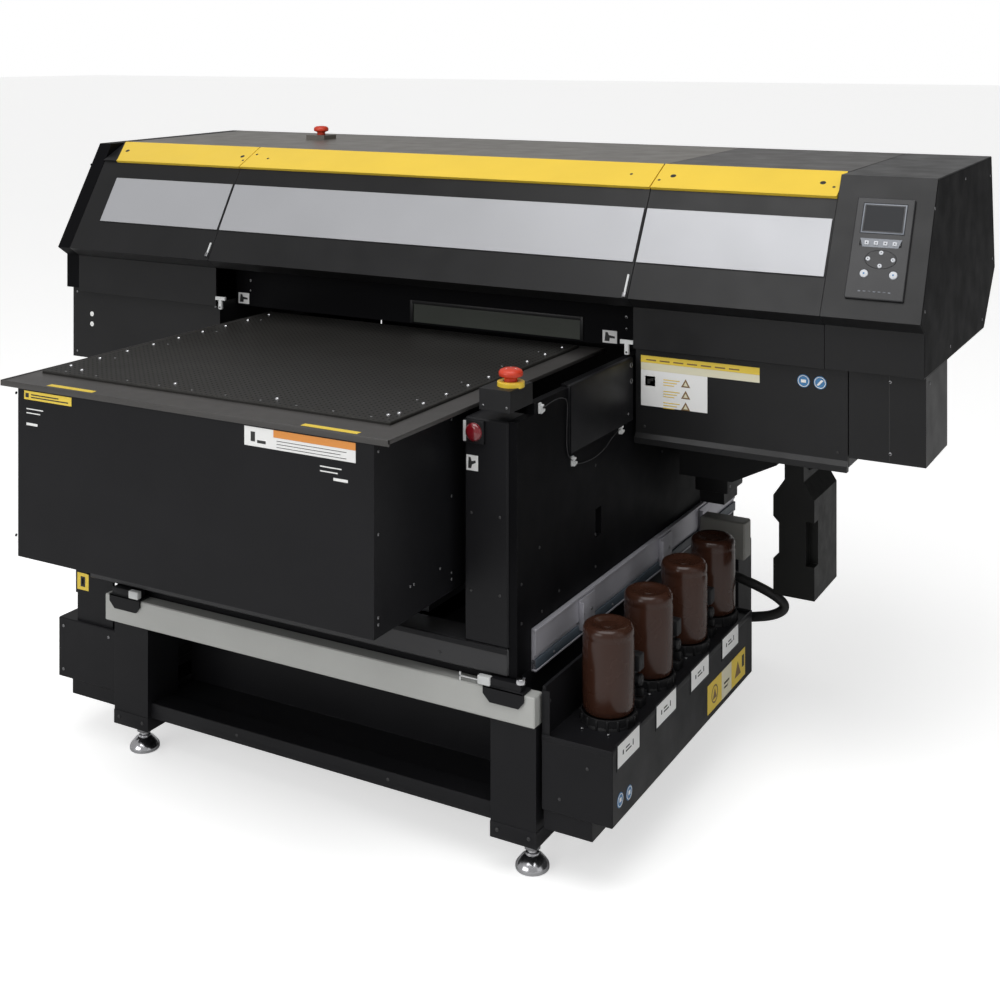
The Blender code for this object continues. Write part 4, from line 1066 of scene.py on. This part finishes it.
def build_left_side():
    label = Build("left_bracket_label", [LABEL_YELLOW, INK_AND_SHADE, STEEL])
    label.on("front", -0.552)
    label.label(-0.6225, 0.318, -0.5895, 0.354, 0, ((0.3, 0.2, 0.7, 0.8, 1), (0.44, 0.32, 0.56, 0.7, 0)))
    label.on("front", extent("left_cabinet")[0].y)
    label.screws(((-0.655, 0.235), (-0.655, 0.142), (-0.525, 0.235)), 0.0032, look=2)
    label.done()


def build_back():
    """Louvres on the rear cover, and a service door and power inlet on the table body; all guessed."""
    rear = Build("rear_louvres", [DARK, INK_AND_SHADE])
    z_top, y_top = 1.233, 0.5925
    z_low, y_low = 0.977, 0.632
    along = Vector((0.0, y_top - y_low, z_top - z_low)).normalized()
    out = Vector((0.0, along.z, -along.y))
    turn = Matrix(((-1, 0, 0), (0, along.y, out.y), (0, along.z, out.z))).to_4x4()
    for x in (-0.8, -0.09, 0.62):
        for i in range(7):
            rear.place = Matrix.Translation(Vector((x, y_low, z_low)) + along * (0.07 + 0.018 * i)) @ turn
            # The dark strip under each slat is painted shade in the vent opening.
            rear.box((-0.11, 0.11), (-0.004, 0.004), (-0.0005, 0.0004), 1)
            rear.box((-0.11, 0.11), (0.002, 0.005), (-0.0005, 0.0018), 0)
    rear.done()

    panel_y = extent("body_deck")[1].y - 0.004
    door = Build("rear_service_door", [BLACK, STEEL, INK_AND_SHADE])
    door.on("back", panel_y)
    left, right, low, high = -0.22, 0.34, 0.43, 0.79
    door.box((left, right), (low, high), (0.0, 0.0018), 0, 0.0008)
    for i in range(9):
        z = high - 0.07 - 0.018 * i
        # The dark strip behind each slat is painted shade in the vent opening.
        door.box((left + 0.08, right - 0.08), (z, z + 0.007), (0.001, 0.002), 2)
        door.box((left + 0.08, right - 0.08), (z + 0.006, z + 0.01), (0.001, 0.0045), 0, 0.0006)
    columns = (left + 0.014, (left + right) / 2, right - 0.014)
    door.screws([(u, z) for u in columns for z in (low + 0.014, high - 0.014)], 0.0034, look=1)
    door.done()

    inlet = Build("power_inlet", [PLASTIC, INK_AND_SHADE, STEEL])
    inlet.on("back", panel_y)
    inlet.box((-0.36, -0.29), (0.44, 0.49), (0.0, 0.006), 0, 0.0016)
    inlet.box((-0.35, -0.32), (0.452, 0.478), (0.005, 0.0063), 1)
    inlet.box((-0.312, -0.298), (0.454, 0.476), (0.005, 0.009), 0, 0.001)
    inlet.screws([(u, 0.485) for u in (-0.355, -0.295)], 0.0024, look=2)
    inlet.done()


for build in (
    build_cover_dressing, build_housing_details, build_recess_details, build_maintenance_cover,
    build_panel_details, build_estops, build_column_details, build_side_wall_details, build_table_details,
    build_feet, build_beam_fittings, build_leg_plates, build_rail_details, build_bottles, build_tray_details,
    build_waste_side, build_left_side, build_back,
):
    build()


# ---- Floor, light and camera ----
def pale_surface(name, colour, roughness, lift):
    """A matt surface. The lift brightens what the camera sees, without lighting the printer from below."""
    made = surface(name, colour, roughness, variation=0.01, patch=0.8, grain=40.0, grain_depth=SMOOTH)
    tree = made.node_tree
    shader = tree.nodes["Principled BSDF"]
    seen = tree.nodes.new("ShaderNodeLightPath").outputs["Is Camera Ray"]
    shader.inputs["Emission Color"].default_value = (1.0, 1.0, 1.0, 1.0)
    link(tree, mapped(tree, seen, 0.0, 1.0, 0.0, lift), shader.inputs["Emission Strength"])
    return made


def build_floor():
    reach, low = 60.0, -0.0005
    corners = [(-reach, -reach, low), (reach, -reach, low), (reach, reach, low), (-reach, reach, low)]
    mesh = bpy.data.meshes.new("floor")
    mesh.from_pydata(corners, [], [(0, 1, 2, 3)])
    mesh.materials.append(pale_surface("pale_floor", (0.9, 0.9, 0.895), 0.6, 0.58))
    add_object("floor", mesh, (0, 0, 0))


def area_light(name, place, target, size, power):
    data = bpy.data.lights.new(name, "AREA")
    data.shape = "RECTANGLE"
    data.size, data.size_y = size
    data.energy = power
    light = add_object(name, data, place)
    light.rotation_euler = (Vector(target) - Vector(place)).to_track_quat("-Z", "Y").to_euler()


def build_light():
    """A soft white room: seen as white, but dimmer as a source of light, so that the black coats stay black.

    It is dimmer still behind the right end, so that the end faces look darker than the front.
    """
    room_light = 0.42
    world = bpy.data.worlds.new("studio")
    world.use_nodes = True
    tree = world.node_tree
    background = tree.nodes["Background"]
    background.inputs["Color"].default_value = (1.0, 1.0, 1.0, 1.0)
    rays = tree.nodes.new("ShaderNodeLightPath").outputs
    direction = tree.nodes.new("ShaderNodeSeparateXYZ")
    link(tree, tree.nodes.new("ShaderNodeTexCoord").outputs["Generated"], direction.inputs["Vector"])
    rightward = mapped(tree, direction.outputs["X"], 0.0, 0.1, 0.0, 0.9)
    backward = mapped(tree, direction.outputs["Y"], 0.0, 0.25, 0.0, 1.0)
    shade = maths(tree, "MULTIPLY", rightward, backward)
    dimmed = maths(tree, "MULTIPLY", maths(tree, "SUBTRACT", 1.0, shade), room_light)
    strength = maths(tree, "MAXIMUM", dimmed, rays["Is Camera Ray"])
    link(tree, strength, background.inputs["Strength"])
    bpy.context.scene.world = world
    area_light("key_above", (0.5, -1.6, 4.2), (0.0, 0.0, 0.6), (4.0, 3.0), 95.0)
    area_light("front_fill", (-1.6, -5.0, 2.4), (0.0, 0.0, 0.7), (3.5, 2.5), 60.0)
    area_light("right_fill", (4.6, -1.2, 2.0), (0.2, 0.0, 0.6), (2.5, 2.5), 5.0)


EYE = Vector((1.676, -2.826, 1.475))
YAW = math.radians(29)
LENS_MM, SENSOR_MM = 52.0, 36.0
HORIZON_SHIFT = -0.45


def build_camera():
    """A level camera whose lens is shifted down, so that uprights stay parallel.

    The shift holds only while the camera stands at this place.
    """
    data = bpy.data.cameras.new("camera")
    data.lens = LENS_MM
    data.sensor_width = SENSOR_MM
    camera = add_object("camera", data, EYE + CENTRE)
    camera.rotation_euler = (math.pi / 2, 0.0, YAW)
    bpy.context.scene.camera = camera
    data.shift_y = HORIZON_SHIFT
    driver = data.driver_add("shift_y").driver
    driver.type = "SCRIPTED"
    place = driver.variables.new()
    place.name = "px"
    place.type = "SINGLE_PROP"
    place.targets[0].id = camera
    place.targets[0].data_path = "location[0]"
    driver.expression = f"{HORIZON_SHIFT} if abs(px - {camera.location.x:.6f}) < 0.001 else 0"


build_floor()
build_light()
build_camera()
bpy.context.scene.view_settings.view_transform = "Standard"
